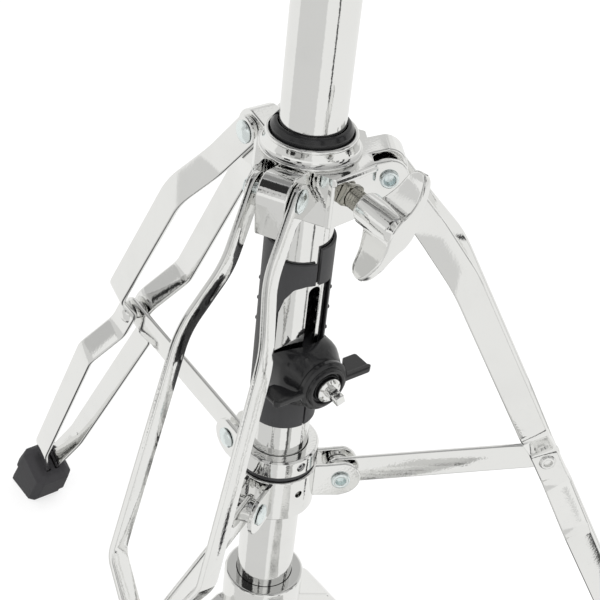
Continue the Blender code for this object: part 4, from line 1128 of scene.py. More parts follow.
def make_tension_clamp():
    """The humped body that rides in the slot, hollowed to sit on the sleeve, with its front flange."""
    reach = TUBE_R + GAP + SLEEVE_WALL + GAP
    steps = (
        (4.0, 16.2, 15.4, 17.0, 2.8),
        (14.5, 16.2, 15.4, 17.0, 2.8),
        (17.5, 15.8, 15.2, 16.6, 2.7),
        (19.8, 15.0, 14.8, 16.0, 2.5),
        (21.6, 14.2, 14.2, 15.3, 2.3),
        (23.0, 13.6, 13.7, 14.4, 2.2),
        (24.2, 13.1, 13.2, 13.6, 2.1),
        (25.2, 12.8, 12.8, 13.0, 2.0),
        (25.9, 12.2, 12.2, 12.3, 2.0),
        (26.0, 11.6, 11.6, 11.7, 2.0),
    )
    sections = []
    for depth, w, up, down, power in steps:
        sections.append([(x, y * (up if y > 0 else down), depth) for x, y in oval(w, 1.0, power)])
    body = loft("clamp", sections, front(STUD_Z), 40.0)
    ribs = []
    for x in (-6.6, 5.0):
        path = [(x, -(24.2 - 0.075 * z**2 / 2), STUD_Z + z + 5.0) for z in (1.0, 3.0, 5.0, 7.0, 8.6)]
        ribs.append(bar("rib", path, 0.9, 16))
    fuse(body, *ribs)
    bore = lathe("bore", [(0, 240), (reach, 240), (reach, 345), (0, 345)], Matrix(), 192, 0)
    hole = lathe("hole", [(0, 0), (3.0, 0), (3.0, 40), (0, 40)], front(STUD_Z), 48, 0)
    nub_way = box("nub_way", (15.0, -1.5, 240), (17.0, 1.5, 345), 0, place((0, 0, 0), (0, 0, 1), leg_axes(-42.0)[0]))
    cut(body, bore, hole, nub_way)
    settle(even(sharpened(body, 35.0)), "tension_clamp")


def make_tension_nut():
    """The wing nut: stepped rings round its hub and two level wings that reach back beside the clamp."""
    bore = 2.8
    profile = [
        (4.2, 30.0, 0.3),
        (6.5, 30.6, 0.3),
        (6.9, 29.2, 0.4),
        (7.7, 29.2, 0.4),
        (8.2, 31.4, 0.6),
        (9.8, 31.4, 0.8),
        (10.3, 29.7, 0.3),
        (11.4, 29.9, 0.5),
        (12.8, 28.9, 0.9),
        (12.8, 26.4, 0.6),
        (bore, 26.3, 0.2),
        (bore, 30.0, 0.2),
    ]
    nut = lathe("nut", profile, front(STUD_Z), 96)
    wing = [(8.0, 29.2), (25.6, 29.2, 1.6), (27.2, 27.0, 2.0), (27.2, 16.6, 1.4), (19.6, 16.6, 1.2)]
    wing += [(17.3, 19.4, 2.0), (15.3, 24.0, 2.0), (13.4, 26.7, 0.6), (8.0, 26.9)]
    rim = [(8.0, 29.6), (25.6, 29.6, 1.6), (27.9, 27.7, 1.6), (26.8, 26.3, 0.8), (8.0, 26.5)]
    wings = []
    for sign in (1, -1):
        for outline, low, high, edge in ((wing, -1.2, 0.6, 0.6), (rim, -1.9, 1.3, 1.2)):
            drawn = [(sign * x, -depth) for x, depth in rounded(outline, 0, True, 6)]
            level = place((0, 0, STUD_Z), (0, 0, 1))
            wings.append(slab("wing", drawn[::-sign], low, high, edge, level, 0.0, 4))
    fuse(nut, *wings)
    hole = lathe("hole", [(0, 20), (bore, 20), (bore, 40), (0, 40)], front(STUD_Z), 48, 0)
    settle(even(sharpened(cut(nut, hole), 35.0)), "tension_wing_nut")


def make_key_stud():
    """The stud with its slotted chrome nut and square drum-key end."""
    shank_profile = [
        (0, 35.2),
        (2.5, 35.2),
        (2.5, 31.8),
        (2.7, 31.4),
        (2.7, 8.6),
        (0, 8.6),
    ]
    shank = lathe("shank", shank_profile, front(STUD_Z), 48, 0.2)
    nut_profile = [(2.2, 33.6), (4.6, 33.6, 0.4), (6.1, 32.8, 0.5), (6.3, 30.9, 0.2), (2.2, 30.9)]
    nut = lathe("nut", nut_profile, front(STUD_Z), 72, 0.15)
    notches = []
    for k in range(8):
        turn = Matrix.Rotation(math.radians(45 * k + 20), 4, "Z")
        notches.append(box("notch", (4.2, -0.6, 32.5), (7.5, 0.6, 35), 0, front(STUD_Z) @ turn))
    cut(nut, *notches)
    end = box("key_end", (-2.3, -2.3, 33.4), (2.3, 2.3, 41.0), 0.45, front(STUD_Z) @ Matrix.Rotation(0.3, 4, "Z"))
    neck = lathe("neck_cut", [(2.5, 38.3), (4.5, 38.3), (4.5, 37.6), (2.5, 37.6)], front(STUD_Z), 48, 0)
    cut(end, neck)
    settle(sharpened(gather("stud", [shank, nut, end]), 35.0), "key_stud")


def make_spring_parts():
    outer = TUBE_BORE - GAP
    carrier_profile = [(outer, 300, 0.8), (outer, 284, 0.8), (ROD_R + 0.6, 284), (ROD_R + 0.6, 300)]
    carrier = lathe("carrier", carrier_profile, Matrix(), 96)
    hole = lathe("hole", [(0, 7), (3.0, 7), (3.0, 14), (0, 14)], front(STUD_Z), 32, 0)
    settle(sharpened(cut(carrier, hole), 40.0), "spring_carrier")
    turns = 11
    count = 40 * turns
    path = []
    for i in range(count + 1):
        a = 2 * math.pi * i / 40
        path.append((8.2 * math.cos(a), 8.2 * math.sin(a), 301.5 + 73.0 * i / count))
    spring = bar("return_spring_finished", path, 1.05, 16)
    spring.data.materials.append(finish_of("spring_steel"))
    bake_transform(spring)
    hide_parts("return_spring")


def make_rods():
    lower = [(0, 620), (ROD_R, 620), (ROD_R, 384), (9.6, 384), (9.6, 376), (ROD_R, 376), (ROD_R, 156), (0, 156)]
    settle(lathe("rod", lower, Matrix(), 64, 0.3), "lower_rod")
    upper = [
        (0, 1080.0),
        (ROD_R, 1080.0, 0.8),
        (ROD_R, 640.0, 1.5),
        (5.5, 638.0, 0.8),
        (5.5, 600.0, 0.5),
        (ROD_R + GAP, 600.0),
        (ROD_R + GAP, 620.3),
        (0, 620.3),
    ]
    settle(lathe("rod", upper, Matrix(), 64), "upper_rod")
    yoke = lathe("yoke", [(0, 164), (8.6, 164), (8.6, 133), (0, 133)], Matrix(), 64, 0.9)
    bore = lathe("bore", [(0, 155.7), (3.5, 155.7), (3.5, 170), (0, 170)], Matrix(), 32, 0)
    cut(yoke, bore, box("slot", (-3.3, -12, 128), (3.3, 12, 152), 0))
    pin = lathe("pin", [(0, 8.4), (2.0, 8.4), (2.0, -8.4), (0, -8.4)], sideways(0, 140.0), 32, 0.2)
    settle(sharpened(gather("yoke", [yoke, pin]), 40.0), "drive_yoke")
    outline = arc((0, 140.0), 5.0, 0, 180, 25) + arc((0, 84.0), 6.0, 180, 360, 25)
    link = slab("link", outline, -3.0, 3.0, 0.7, sideways(0, 0))
    holes = [lathe("hole", [(0, -5), (r, -5), (r, 5), (0, 5)], sideways(0, z), 48, 0) for z, r in ((140.0, 2.1), (84.0, 3.6))]
    settle(sharpened(cut(link, *holes), 40.0), "drive_link")


def make_pedal():
    """The footboard: a ribbed plate with a heel knuckle, toe cheeks and the toe pin."""
    rise = math.atan2(72.0 - HEEL_AXIS[1], -HEEL_AXIS[0])
    along = Vector((0, math.cos(rise), math.sin(rise)))
    normal = Vector((0, -math.sin(rise), math.cos(rise)))
    toe = -HEEL_AXIS[0] / along.y + 6
    placement = place((0, HEEL_AXIS[0], HEEL_AXIS[1]), normal, (1, 0, 0))
    half = 40.0
    right = [(half - 3, 8, 1.5), (half, 20, 12), (half, toe - 26, 12), (half - 9, toe - 7, 8), (half - 16, toe, 2)]
    outline = [*right, (7.2, toe, 1), (7.2, toe - 14, 1)]
    outline += [(-x, y, r) for x, y, r in reversed(outline)]
    plate = slab("plate", rounded(outline, 0, True, 6), 2.5, 7.5, 1.2, placement, 0.0, 4)
    grips = []
    for k in range(7):
        y = 40 + k * 26
        grips.append(box("grip", (-half + 9, y, 6.0), (half - 9, y + 12, 9.0), 0.9, placement, 4))
    for sign in (1, -1):
        low, high = sorted((sign * 6.8, sign * 9.8))
        cheek = [(-14, 62), (8, 66), *arc((0, 84.0), 6, 0, 180, 25)]
        grips.append(slab("cheek", cheek, low, high, 0.6, sideways(0, 0)))
    grips.append(lathe("pin", [(0, 9.5), (2.0, 9.5), (2.0, -9.5), (0, -9.5)], sideways(0, 84.0), 32, 0.2))
    knuckle = [(2.6, 24), (6.0, 24), (6.0, -24), (2.6, -24)]
    neck = box("neck", (-24, 3, -1.5), (24, 14, 5.5), 0.8, placement)
    hole = lathe("hole", [(0, -30), (2.6, -30), (2.6, 30), (0, 30)], sideways(*HEEL_AXIS), 48, 0)
    cut(neck, hole)
    grips += [neck, lathe("knuckle", knuckle, sideways(*HEEL_AXIS), 64, 0.5)]
    settle(sharpened(gather("board", [plate, *grips]), 35.0), "footboard")


def make_base():
    """The cast arch that carries the tube, with its floor bar."""
    outer = [(62, 0, 2), (62, 40, 20), (56, 92, 16), (40, 116, 10), (19, 128, 0)]
    inner = [(-49, 0, 2), (-49, 44, 14), (-45, 84, 14), (-31, 100, 10)]
    outline = outer + [(-x, z, r) for x, z, r in reversed(outer)]
    outline += inner + [(-x, z, r) for x, z, r in reversed(inner)]
    arch = slab("arch", rounded(outline, 0, True, 8), -14, 10, 2.5, front(0), 0.0, 5)
    boss = lathe("boss", [(0, 150), (20.5, 150), (20.5, 101), (0, 101)], Matrix(), 128, 1.6)
    floor_bar = box("floor_bar", (-61, -6, 0), (61, 34, 10), 1.5, Matrix(), 4)
    fuse(arch, boss, floor_bar)
    low = TUBE_LOW - GAP
    wide = TUBE_R + GAP
    holes = [lathe("bore", [(0, 90), (11.4, 90), (11.4, low), (wide, low), (wide, 160), (0, 160)], Matrix(), 128, 0)]
    for sign in (1, -1):
        rod = place((sign * 31.0, 0, 5), (0, 1, 0), (1, 0, 0))
        holes.append(lathe("rod_hole", [(0, -12), (3.3, -12), (3.3, 22), (0, 22)], rod, 48, 0))
        spur = place((sign * 55, 26, 0), (0, 0, 1))
        holes.append(lathe("spur_hole", [(0, -2), (3.3, -2), (3.3, 20), (0, 20)], spur, 48, 0))
    cut(arch, *holes)
    settle(even(sharpened(arch, 35.0)), "base_frame")


def make_heel():
    plate = box("heel", (-43, -335, 2.5), (43, -257, 10.5), 1.8, Matrix(), 4)
    lugs = []
    for sign in (1, -1):
        low, high = sorted((sign * 24.3, sign * 33))
        outline = [(-264, 4), (HEEL_AXIS[0], 9), *arc(HEEL_AXIS, 6.5, -70, 110, 25), (-258, 20, 3), (-264, 14, 3)]
        lugs.append(slab("lug", rounded(outline, 0, True, 5), low, high, 0.8, sideways(0, 0)))
    fuse(plate, *lugs)
    holes = [lathe("hole", [(0, -40), (2.8, -40), (2.8, 40), (0, 40)], sideways(*HEEL_AXIS), 48, 0)]
    for sign in (1, -1):
        rod = place((sign * 31.0, 0, 5), (0, 1, 0), (1, 0, 0))
        holes.append(lathe("rod_hole", [(0, -272), (3.3, -272), (3.3, -235), (0, -235)], rod, 48, 0))
    cut(plate, *holes)
    settle(even(sharpened(plate, 35.0)), "heel_plate")
    for side, sign in (("right", 1), ("left", -1)):
        path = [(sign * 31.0, -271.6, 5), (sign * 31.0, 21.6, 5)]
        settle(bar("rod", path, 3.0, 32), f"radius_rod_{side}")
    pad = box("pad", (-38, -330, 0), (38, -275, 2.2), 0.6)
    grooves = [box("groove", (-34, -325 + 8 * k, -0.5), (34, -322 + 8 * k, 0.6), 0) for k in range(6)]
    settle(sharpened(cut(pad, *grooves), 35.0), "heel_pad")
    pin = [(0, 34.5), (2.5, 34.5), (2.5, -34.5), (0, -34.5)]
    settle(lathe("pin", pin, sideways(*HEEL_AXIS), 64, 0.5), "hinge_pin")


def make_spurs():
    for node, x in (("spur_right", 55), ("spur_left", -55)):
        here = place((x, 26, 0), (0, 0, 1))
        profile = [(0, 30), (4.8, 30, 0.6), (5.5, 29.2, 0.4), (5.5, 24, 0.4), (4.5, 23, 0.2), (3.0, 23, 0.3)]
        profile += [(3.0, 3.4, 0.6), (0.4, 0.2, 0.1), (0, 0.12)]
        spur = lathe("spur", profile, here, 64)
        slot = box("slot", (-0.7, -7, 28.6), (0.7, 7, 32), 0, here)
        settle(sharpened(cut(spur, slot), 35.0), node)


def make_height_clamp():
    """The split clamp with its bolt and nut, and the memory lock above it."""
    profile = [(21.0, CLAMP_TOP, 2.2), (21.0, CLAMP_LOW, 2.2), (11.4, CLAMP_LOW), (11.4, CLAMP_TOP)]
    clamp = lathe("clamp", profile, Matrix(), 160, 0.3)
    fuse(clamp, box("lugs", (-11, -38, 558), (11, -14, 590), 2.5, Matrix(), 5))
    wide = TUBE_R + GAP
    holes = [lathe("bore", [(0, 545), (wide, 545), (wide, 575.3), (0, 575.3)], Matrix(), 160, 0)]
    holes.append(lathe("bore", [(0, 570), (11.4, 570), (11.4, 620), (0, 620)], Matrix(), 128, 0))
    holes.append(box("slit", (-1.8, -45, 540), (1.8, -8, 610), 0))
    bolt = place((0, -29, 574), (-1, 0, 0), (0, 0, 1))
    holes.append(lathe("bolt_hole", [(0, -20), (3.4, -20), (3.4, 20), (0, 20)], bolt, 48, 0))
    cut(clamp, *holes)
    settle(even(sharpened(clamp, 35.0)), "height_clamp")
    make_wing_screw("height_bolt", -15.0, 3.0, 12.0, 0.95, bolt, 20, 11.0, 1.25)
    nut = slab("nut", circle((0, 0), 7.0, 6), -16.2, -11.3, 0.5, bolt)
    hole = lathe("hole", [(0, -20), (3.4, -20), (3.4, -8), (0, -8)], bolt, 48, 0)
    settle(sharpened(cut(nut, hole), 35.0), "height_nut")
    low = CLAMP_TOP + GAP
    profile = [(17.5, low + 16, 1.5), (17.5, low, 1.5), (11.4, low), (11.4, low + 16)]
    lock = lathe("lock", profile, Matrix(), 128, 0.3)
    cut(lock, box("slit", (-1.2, -25, low - 4), (1.2, -8, low + 20), 0))
    settle(even(sharpened(lock, 35.0)), "memory_lock")


def make_seat():
    z = 776.0
    profile = [
        (5.6, z + 9, 0.2),
        (6.0, z + 10, 0.2),
        (18.0, z + 10, 1.0),
        (23.5, z + 8.6, 1.2),
        (24.0, z + 7, 0.8),
        (22.0, z + 4, 1.5),
        (15.5, z, 2.0),
        (15.0, z - 24, 0.8),
        (11.4, z - 24, 0.2),
        (11.4, 770.3, 0.2),
        (5.6, 770.3, 0.2),
    ]
    settle(lathe("seat", profile, Matrix(), 128), "cymbal_seat")


def make_clutch():
    z = 940.0
    bore = ROD_R + 0.4
    profile = [
        (bore, z + 68, 0.2),
        (9.5, z + 68, 1.5),
        (11.0, z + 66, 1.5),
        (11.0, z + 44, 1.5),
        (7.5, z + 40, 1.5),
        (7.5, z + 34.5, 0.5),
        (13.0, z + 34.5, 0.8),
        (13.0, z + 31.5, 0.8),
        (5.0, z + 31.5, 0.3),
        (5.0, z + 0.5, 0.4),
        (bore, z + 0.5, 0.2),
    ]
    body = lathe("clutch", profile, Matrix(), 96)
    here = place((0, 0, z + 55), (0, -1, 0), (1, 0, 0))
    cut(body, lathe("hole", [(0, 1), (2.9, 1), (2.9, 16), (0, 16)], here, 48, 0))
    settle(sharpened(body, 40.0), "clutch_body")
    make_wing_screw("clutch_screw", ROD_R + GAP, 2.5, 12.0, 0.65, here, 0, 10.6, 1.0)
    nut = lathe("nut", [(10.0, z + 11.0, 1.0), (10.0, z + 1.5, 1.0), (5.1, z + 1.5), (5.1, z + 11.0)], Matrix(), 144, 0.3)
    grooves = []
    for k in range(24):
        a = 2 * math.pi * k / 24
        where = place((10.2 * math.cos(a), 10.2 * math.sin(a), z), (0, 0, 1))
        grooves.append(lathe("groove", [(0, 2.6), (0.5, 2.6), (0.5, 9.9), (0, 9.9)], where, 12, 0.1))
    settle(even(sharpened(cut(nut, *grooves), 35.0)), "clutch_nut")


FELTS = (
    ("seat_felt", 6.0, 21.0, 786.3, 796.3),
    ("clutch_felt_upper", 5.3, 15.0, 961.5, 971.2),
    ("clutch_felt_lower", 5.3, 15.0, 951.3, 961.2),
)


def make_felts():
    """Felt rings with soft worn corners and a slightly uneven side."""
    for node, inner, outer, low, high in FELTS:
        profile = [(outer, high, 1.8), (outer - 0.5, (low + high) / 2, 6.0), (outer, low, 1.8), (inner, low), (inner, high)]
        felt = lathe("felt", profile, Matrix(), 128, 0.8)
        settle(felt, node)


# Looks that a user would change


class STAND_PG_looks(bpy.types.PropertyGroup):
    """Colours and sizes of the finished stand."""

    plate_colour: FloatVectorProperty(
        name="Plate colour", description="Colour of the bright plate", subtype="COLOR", default=(0.86, 0.86, 0.85)
    )
    plate_roughness: FloatProperty(
        name="Plate roughness", description="Roughness of clean plate", default=0.03, min=0.0, max=1.0
    )
    plastic_colour: FloatVectorProperty(
        name="Plastic colour", description="Colour of the matte plastic", subtype="COLOR", default=(0.030, 0.030, 0.032)
    )
    rubber_colour: FloatVectorProperty(
        name="Rubber colour", description="Colour of the rubber feet", subtype="COLOR", default=(0.026, 0.025, 0.028)
    )
    felt_colour: FloatVectorProperty(
        name="Felt colour", description="Colour of the felt rings", subtype="COLOR", default=(0.46, 0.45, 0.43)
    )


class STAND_OT_tubes(bpy.types.Operator):
    """Make the slotted lower tube and the upper tube."""

    bl_idname = "stand.tubes"
    bl_label = "Tubes"

    def execute(self, context):
        make_tubes()
        return {"FINISHED"}


class STAND_OT_legs(bpy.types.Operator):
    """Make the six bent strips of the tripod."""

    bl_idname = "stand.legs"
    bl_label = "Leg strips"

    def execute(self, context):
        for leg in LEG_AZIMUTHS:
            make_leg(leg)
        return {"FINISHED"}


class STAND_OT_struts(bpy.types.Operator):
    """Make the three flat links between the lower hub and the legs."""

    bl_idname = "stand.struts"
    bl_label = "Struts"

    def execute(self, context):
        for leg in LEG_AZIMUTHS:
            make_strut(leg)
        return {"FINISHED"}


class STAND_OT_feet(bpy.types.Operator):
    """Make the three rubber feet."""

    bl_idname = "stand.feet"
    bl_label = "Feet"

    def execute(self, context):
        for leg in LEG_AZIMUTHS:
            make_foot(leg)
        return {"FINISHED"}


class STAND_OT_rivets(bpy.types.Operator):
    """Make the rivets of both hubs."""

    bl_idname = "stand.rivets"
    bl_label = "Rivets"

    def execute(self, context):
        for leg, azimuth in LEG_AZIMUTHS.items():
            thick, nose_r = EARS[leg]
            rim_at = HUB_HALF + thick + 2 * GAP
            make_rivet(f"hub_rivet_{leg}", azimuth, HUB_PIVOT, HUB_HALF + GAP, rim_at, min(4.3, nose_r - 2.2))
            make_rivet(f"low_rivet_{leg}", azimuth, LOW_PIVOT, EAR_OUTER + GAP, EAR_OUTER + GAP)
        return {"FINISHED"}


class STAND_OT_upper_hub(bpy.types.Operator):
    """Make the upper hub, its bush and its square nut."""

    bl_idname = "stand.upper_hub"
    bl_label = "Upper hub"

    def execute(self, context):
        make_upper_hub()
        make_hub_bush()
        make_square_nut()
        return {"FINISHED"}


class STAND_OT_wing_screw(bpy.types.Operator):
    """Make the cast wing screw of the upper hub."""

    bl_idname = "stand.wing_screw"
    bl_label = "Wing screw"

    def execute(self, context):
        make_wing_screw("wing_screw", BUSH_R + GAP, 4.6, 37.0, 1.0, front(WING_Z), WING_TURN, 30.6, 1.5)
        return {"FINISHED"}


class STAND_OT_lower_hub(bpy.types.Operator):
    """Make the lower hub, the collar, its grub screw and the washer."""

    bl_idname = "stand.lower_hub"
    bl_label = "Lower hub"

    def execute(self, context):
        make_lower_hub()
        make_collar()
        return {"FINISHED"}


class STAND_OT_sleeve(bpy.types.Operator):
    """Make the plastic sleeve round the tube."""

    bl_idname = "stand.sleeve"
    bl_label = "Sleeve"

    def execute(self, context):
        make_sleeve()
        return {"FINISHED"}


class STAND_OT_tension(bpy.types.Operator):
    """Make the tension clamp, its wing nut, the key stud, the carrier and the spring."""

    bl_idname = "stand.tension"
    bl_label = "Spring tension"

    def execute(self, context):
        make_tension_clamp()
        make_tension_nut()
        make_key_stud()
        make_spring_parts()
        return {"FINISHED"}


class STAND_OT_rods(bpy.types.Operator):
    """Make the pull rods, the yoke and the drive link."""

    bl_idname = "stand.rods"
    bl_label = "Pull rods"

    def execute(self, context):
        make_rods()
        return {"FINISHED"}


class STAND_OT_pedal(bpy.types.Operator):
    """Make the footboard and the heel plate with their pin, rods and pad."""

    bl_idname = "stand.pedal"
    bl_label = "Pedal"

    def execute(self, context):
        make_pedal()
        make_heel()
        return {"FINISHED"}


class STAND_OT_base(bpy.types.Operator):
    """Make the arch under the tube and its two spurs."""

    bl_idname = "stand.base"
    bl_label = "Base"

    def execute(self, context):
        make_base()
        make_spurs()
        return {"FINISHED"}


class STAND_OT_height_clamp(bpy.types.Operator):
    """Make the height clamp with its bolt and nut, and the memory lock."""

    bl_idname = "stand.height_clamp"
    bl_label = "Height clamp"

    def execute(self, context):
        make_height_clamp()
        return {"FINISHED"}


class STAND_OT_seat(bpy.types.Operator):
    """Make the metal cup under the lower cymbal."""

    bl_idname = "stand.seat"
    bl_label = "Cymbal seat"

    def execute(self, context):
        make_seat()
        return {"FINISHED"}


class STAND_OT_clutch(bpy.types.Operator):
    """Make the clutch, its screw and its nut."""

    bl_idname = "stand.clutch"
    bl_label = "Clutch"

    def execute(self, context):
        make_clutch()
        return {"FINISHED"}


class STAND_OT_felts(bpy.types.Operator):
    """Make the three felt rings."""

    bl_idname = "stand.felts"
    bl_label = "Felts"

    def execute(self, context):
        make_felts()
        return {"FINISHED"}


class STAND_PG_stage(bpy.types.PropertyGroup):
    """The studio round the stand."""

    focal_length: FloatProperty(
        name="Focal length", description="Of the camera, in mm on a 36 mm sensor", default=85.31, unit="CAMERA"
    )
    azimuth: FloatProperty(
        name="Azimuth", description="Of the camera round the stand", default=math.radians(-39.92), subtype="ANGLE"
    )
    elevation: FloatProperty(
        name="Elevation", description="Of the camera above the horizon", default=math.radians(35.33), subtype="ANGLE"
    )
    roll: FloatProperty(
        name="Roll", description="Of the camera about its view", default=math.radians(6.57), subtype="ANGLE"
    )
    distance: FloatProperty(
        name="Distance", description="From the camera to the aim", default=0.6446, unit="LENGTH"
    )
    aim_height: FloatProperty(
        name="Aim height", description="Height on the tube that the camera looks at", default=0.32125, unit="LENGTH"
    )
    side_step: FloatProperty(
        name="Side step", description="Camera's step to its own right", default=0.00476, unit="LENGTH"
    )
    lamp_power: FloatProperty(
        name="Lamp power", description="Power of the large overhead lamp", default=9.0, unit="POWER"
    )


def make_camera(stage):
    a, e, r = stage.azimuth, stage.elevation, stage.roll
    back = Vector((math.sin(a) * math.cos(e), -math.cos(a) * math.cos(e), math.sin(e)))
    level = Vector((math.cos(a), math.sin(a), 0))
    upright = back.cross(level)
    right = level * math.cos(r) + upright * math.sin(r)
    up = upright * math.cos(r) - level * math.sin(r)
    camera = bpy.data.cameras.new("camera")
    camera.lens = stage.focal_length
    camera.sensor_width = 36.0
    image = 600.0
    centre_x, centre_y = 303.7, 301.0  # the picture's principal point, in its own pixels
    camera.shift_x = -(centre_x - image / 2) / image
    camera.shift_y = (centre_y - image / 2) / image
    obj = bpy.data.objects.new("camera", camera)
    turn = Matrix((right, up, back)).transposed().to_4x4()
    where = Vector((0, 0, stage.aim_height)) + back * stage.distance + right * stage.side_step
    obj.matrix_world = Matrix.Translation(where) @ turn
    bpy.context.scene.collection.objects.link(obj)
    bpy.context.scene.camera = obj


# The room that the plate mirrors, as bands between two sines of elevation: the wall's grey, and the panels on it by
# compass degrees from +X, which are soft boxes and the dark gaps between them
ROOM = (
    (-2.0, -2.0, 0.90, ((144, 238, 0.70), (275, 280, 0.04))),
    (-0.06, 0.04, 0.92, ((150, 167, 0.56), (295, 303, 0.25), (311, 318, 0.06), (320, 356, 0.80))),
    (0.22, 0.25, 0.68, (
        (28, 40, 0.85), (70, 124, 0.85), (172, 188, 0.03), (204, 214, 0.03), (238, 256, 0.95), (306, 317, 0.06),
        (330, 338, 0.03),
    )),
    (0.50, 0.53, 0.62, (
        (46, 60, 0.88), (82, 94, 0.85), (101, 114, 0.12), (196, 212, 0.35), (240, 258, 0.75), (261, 271, 0.12),
        (322, 346, 0.03),
    )),
    (0.66, 0.69, 0.50, (
        (30, 38, 0.85), (68, 116, 0.28), (132, 190, 0.03), (213, 219, 0.08), (236, 252, 0.75), (256, 268, 0.08),
        (328, 347, 0.03),
    )),
)


def compass_ramp(graph, compass, wall, panels):
    """Greys round the compass, from a turn of 0 to 1; each panel's edge is 2 degrees soft."""
    stops = [(0, wall)]
    for start, end, grey in panels:
        stops += [(start - 1, wall), (start + 1, grey), (end - 1, grey), (end + 1, wall)]
    made = graph.node("ShaderNodeValToRGB")
    graph.link(compass, made.inputs["Fac"])
    elements = made.color_ramp.elements
    while len(elements) < len(stops) + 1:
        elements.new(0.5)
    for element, (turn, grey) in zip(elements, (*stops, (360, wall))):
        element.position = turn / 360
        element.color = (grey, grey, grey * 0.985, 1.0)
    return made.outputs["Color"]


def make_world():
    """White for the camera; for reflections a pale room with dark gaps between its soft boxes, and a painted shadow of
    the stand straight below.
    """
    world = bpy.data.worlds.new("studio")
    world.use_nodes = True
    tree = world.node_tree
    tree.nodes.clear()
    graph = Graph(tree)
    direction = graph.node("ShaderNodeTexCoord").outputs["Generated"]
    split = graph.node("ShaderNodeSeparateXYZ")
    graph.link(direction, split.inputs[0])
    azimuth = graph.math("ARCTAN2", split.outputs["Y"], split.outputs["X"])
    compass = graph.math("FRACT", graph.math("DIVIDE", azimuth, 2 * math.pi), 0.0)
    height = split.outputs["Z"]
    room = compass_ramp(graph, compass, *ROOM[0][2:])
    for low, high, wall, panels in ROOM[1:]:
        band = compass_ramp(graph, compass, wall, panels)
        room = graph.mix(graph.remap(height, low, high, 0.0, 1.0), room, band)
    room = graph.mix(graph.remap(height, 0.93, 0.98, 0.0, 1.0), room, (0.30, 0.30, 0.31))
    # Straight down, the reflected room turns near black: a painted shadow of the stand on the floor, which reflections
    # don't see.
    room = graph.mix(graph.remap(height, -0.96, -0.90, 1.0, 0.0), room, (0.07, 0.07, 0.07))
    ray = graph.node("ShaderNodeLightPath")
    shiny = graph.node("ShaderNodeBackground", {"Strength": 1.0})
    graph.link(room, shiny.inputs["Color"])
    plain = graph.node("ShaderNodeBackground", {"Color": (1.0, 1.0, 1.0, 1.0), "Strength": 1.1})
    white = graph.node("ShaderNodeBackground", {"Color": (1.0, 1.0, 1.0, 1.0), "Strength": 1.0})
    for_light = graph.node("ShaderNodeMixShader")
    graph.link(ray.outputs["Is Glossy Ray"], for_light.inputs[0])
    graph.link(plain.outputs[0], for_light.inputs[1])
    graph.link(shiny.outputs[0], for_light.inputs[2])
    for_eye = graph.node("ShaderNodeMixShader")
    graph.link(ray.outputs["Is Camera Ray"], for_eye.inputs[0])
    graph.link(for_light.outputs[0], for_eye.inputs[1])
    graph.link(white.outputs[0], for_eye.inputs[2])
    out = graph.node("ShaderNodeOutputWorld")
    graph.link(for_eye.outputs[0], out.inputs["Surface"])
    bpy.context.scene.world = world


def make_floor():
    bm = bmesh.new()
    bmesh.ops.create_circle(bm, cap_ends=True, segments=64, radius=6.0)
    bmesh.ops.translate(bm, vec=(0, 0, -0.0002), verts=bm.verts)
    floor = finish_mesh("floor", bm, Matrix())
    material = bpy.data.materials.new("floor")
    material.use_nodes = True
    graph = Graph(material.node_tree)
    shader = material.node_tree.nodes["Principled BSDF"]
    shader.inputs["Base Color"].default_value = (0.9, 0.9, 0.9, 1.0)
    shader.inputs["Roughness"].default_value = 0.9
    shader.inputs["Specular IOR Level"].default_value = 0.0
    white = graph.node("ShaderNodeEmission", {"Color": (1.0, 1.0, 1.0, 1.0), "Strength": 1.0})
    ray = graph.node("ShaderNodeLightPath")
    share = graph.math("MULTIPLY", ray.outputs["Is Camera Ray"], 0.7)
    mix = graph.node("ShaderNodeMixShader")
    graph.link(share, mix.inputs[0])
    graph.link(shader.outputs[0], mix.inputs[1])
    graph.link(white.outputs[0], mix.inputs[2])
    graph.link(mix.outputs[0], material.node_tree.nodes["Material Output"].inputs["Surface"])
    floor.data.materials.append(material)
    floor.visible_glossy = False


def make_lamp(name, place_of, aim, size, power):
    lamp = bpy.data.lights.new(name, "AREA")
    lamp.shape = "DISK"
    lamp.size = size
    lamp.energy = power
    obj = bpy.data.objects.new(name, lamp)
    obj.location = place_of
    obj.rotation_mode = "QUATERNION"
    obj.rotation_quaternion = (Vector(place_of) - Vector(aim)).to_track_quat("Z", "Y")
    obj.visible_glossy = False
    bpy.context.scene.collection.objects.link(obj)


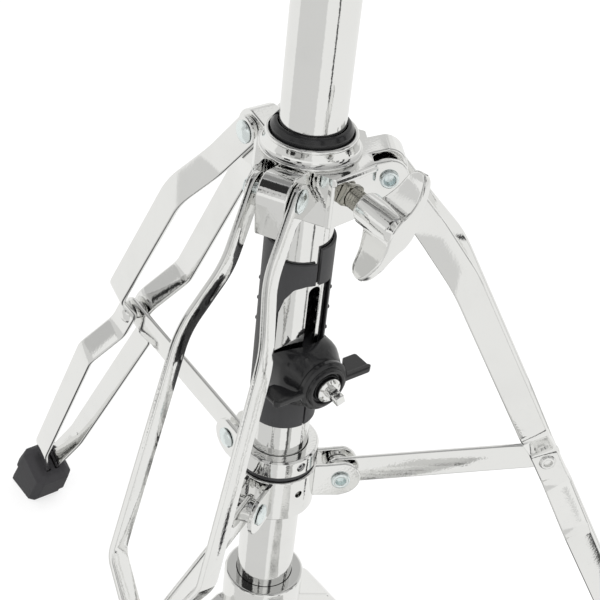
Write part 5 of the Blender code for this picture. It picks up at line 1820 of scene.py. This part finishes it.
class STAND_OT_stage(bpy.types.Operator):
    """Set up the camera, the lamps, the white room and the floor."""

    bl_idname = "stand.stage"
    bl_label = "Stage"

    def execute(self, context):
        stage = context.scene.stand_stage
        make_camera(stage)
        make_world()
        make_floor()
        make_lamp("overhead", (-0.9, -1.2, 2.4), (0, 0, 0.4), 1.6, stage.lamp_power * 4)
        make_lamp("fill", (1.6, 0.4, 1.6), (0, 0, 0.4), 1.2, stage.lamp_power)
        context.scene.view_settings.view_transform = "Standard"
        return {"FINISHED"}


class STAND_PT_panel(bpy.types.Panel):
    """The stand's pieces and its studio."""

    bl_label = "Hi-hat stand"
    bl_idname = "STAND_PT_panel"
    bl_space_type = "VIEW_3D"
    bl_region_type = "UI"
    bl_category = "Stand"

    def draw(self, context):
        for group in (context.scene.stand_looks, context.scene.stand_stage):
            for name in group.bl_rna.properties.keys():
                if name not in ("name", "rna_type"):
                    self.layout.prop(group, name)
        for operator in PIECES:
            self.layout.operator(operator.bl_idname)


PIECES = (
    STAND_OT_tubes,
    STAND_OT_legs,
    STAND_OT_struts,
    STAND_OT_feet,
    STAND_OT_rivets,
    STAND_OT_upper_hub,
    STAND_OT_wing_screw,
    STAND_OT_lower_hub,
    STAND_OT_sleeve,
    STAND_OT_tension,
    STAND_OT_rods,
    STAND_OT_pedal,
    STAND_OT_base,
    STAND_OT_height_clamp,
    STAND_OT_seat,
    STAND_OT_clutch,
    STAND_OT_felts,
    STAND_OT_stage,
)
GROUPS = (STAND_PG_looks, STAND_PG_stage)
CLASSES = (*GROUPS, *PIECES, STAND_PT_panel)


def register():
    for cls in CLASSES:
        bpy.utils.register_class(cls)
    bpy.types.Scene.stand_looks = PointerProperty(type=STAND_PG_looks)
    bpy.types.Scene.stand_stage = PointerProperty(type=STAND_PG_stage)


def unregister():
    del bpy.types.Scene.stand_looks
    del bpy.types.Scene.stand_stage
    for cls in reversed(CLASSES):
        bpy.utils.unregister_class(cls)


def main():
    register()
    for operator in PIECES:
        category, name = operator.bl_idname.split(".")
        getattr(getattr(bpy.ops, category), name)()


if __name__ == "__main__":
    main()
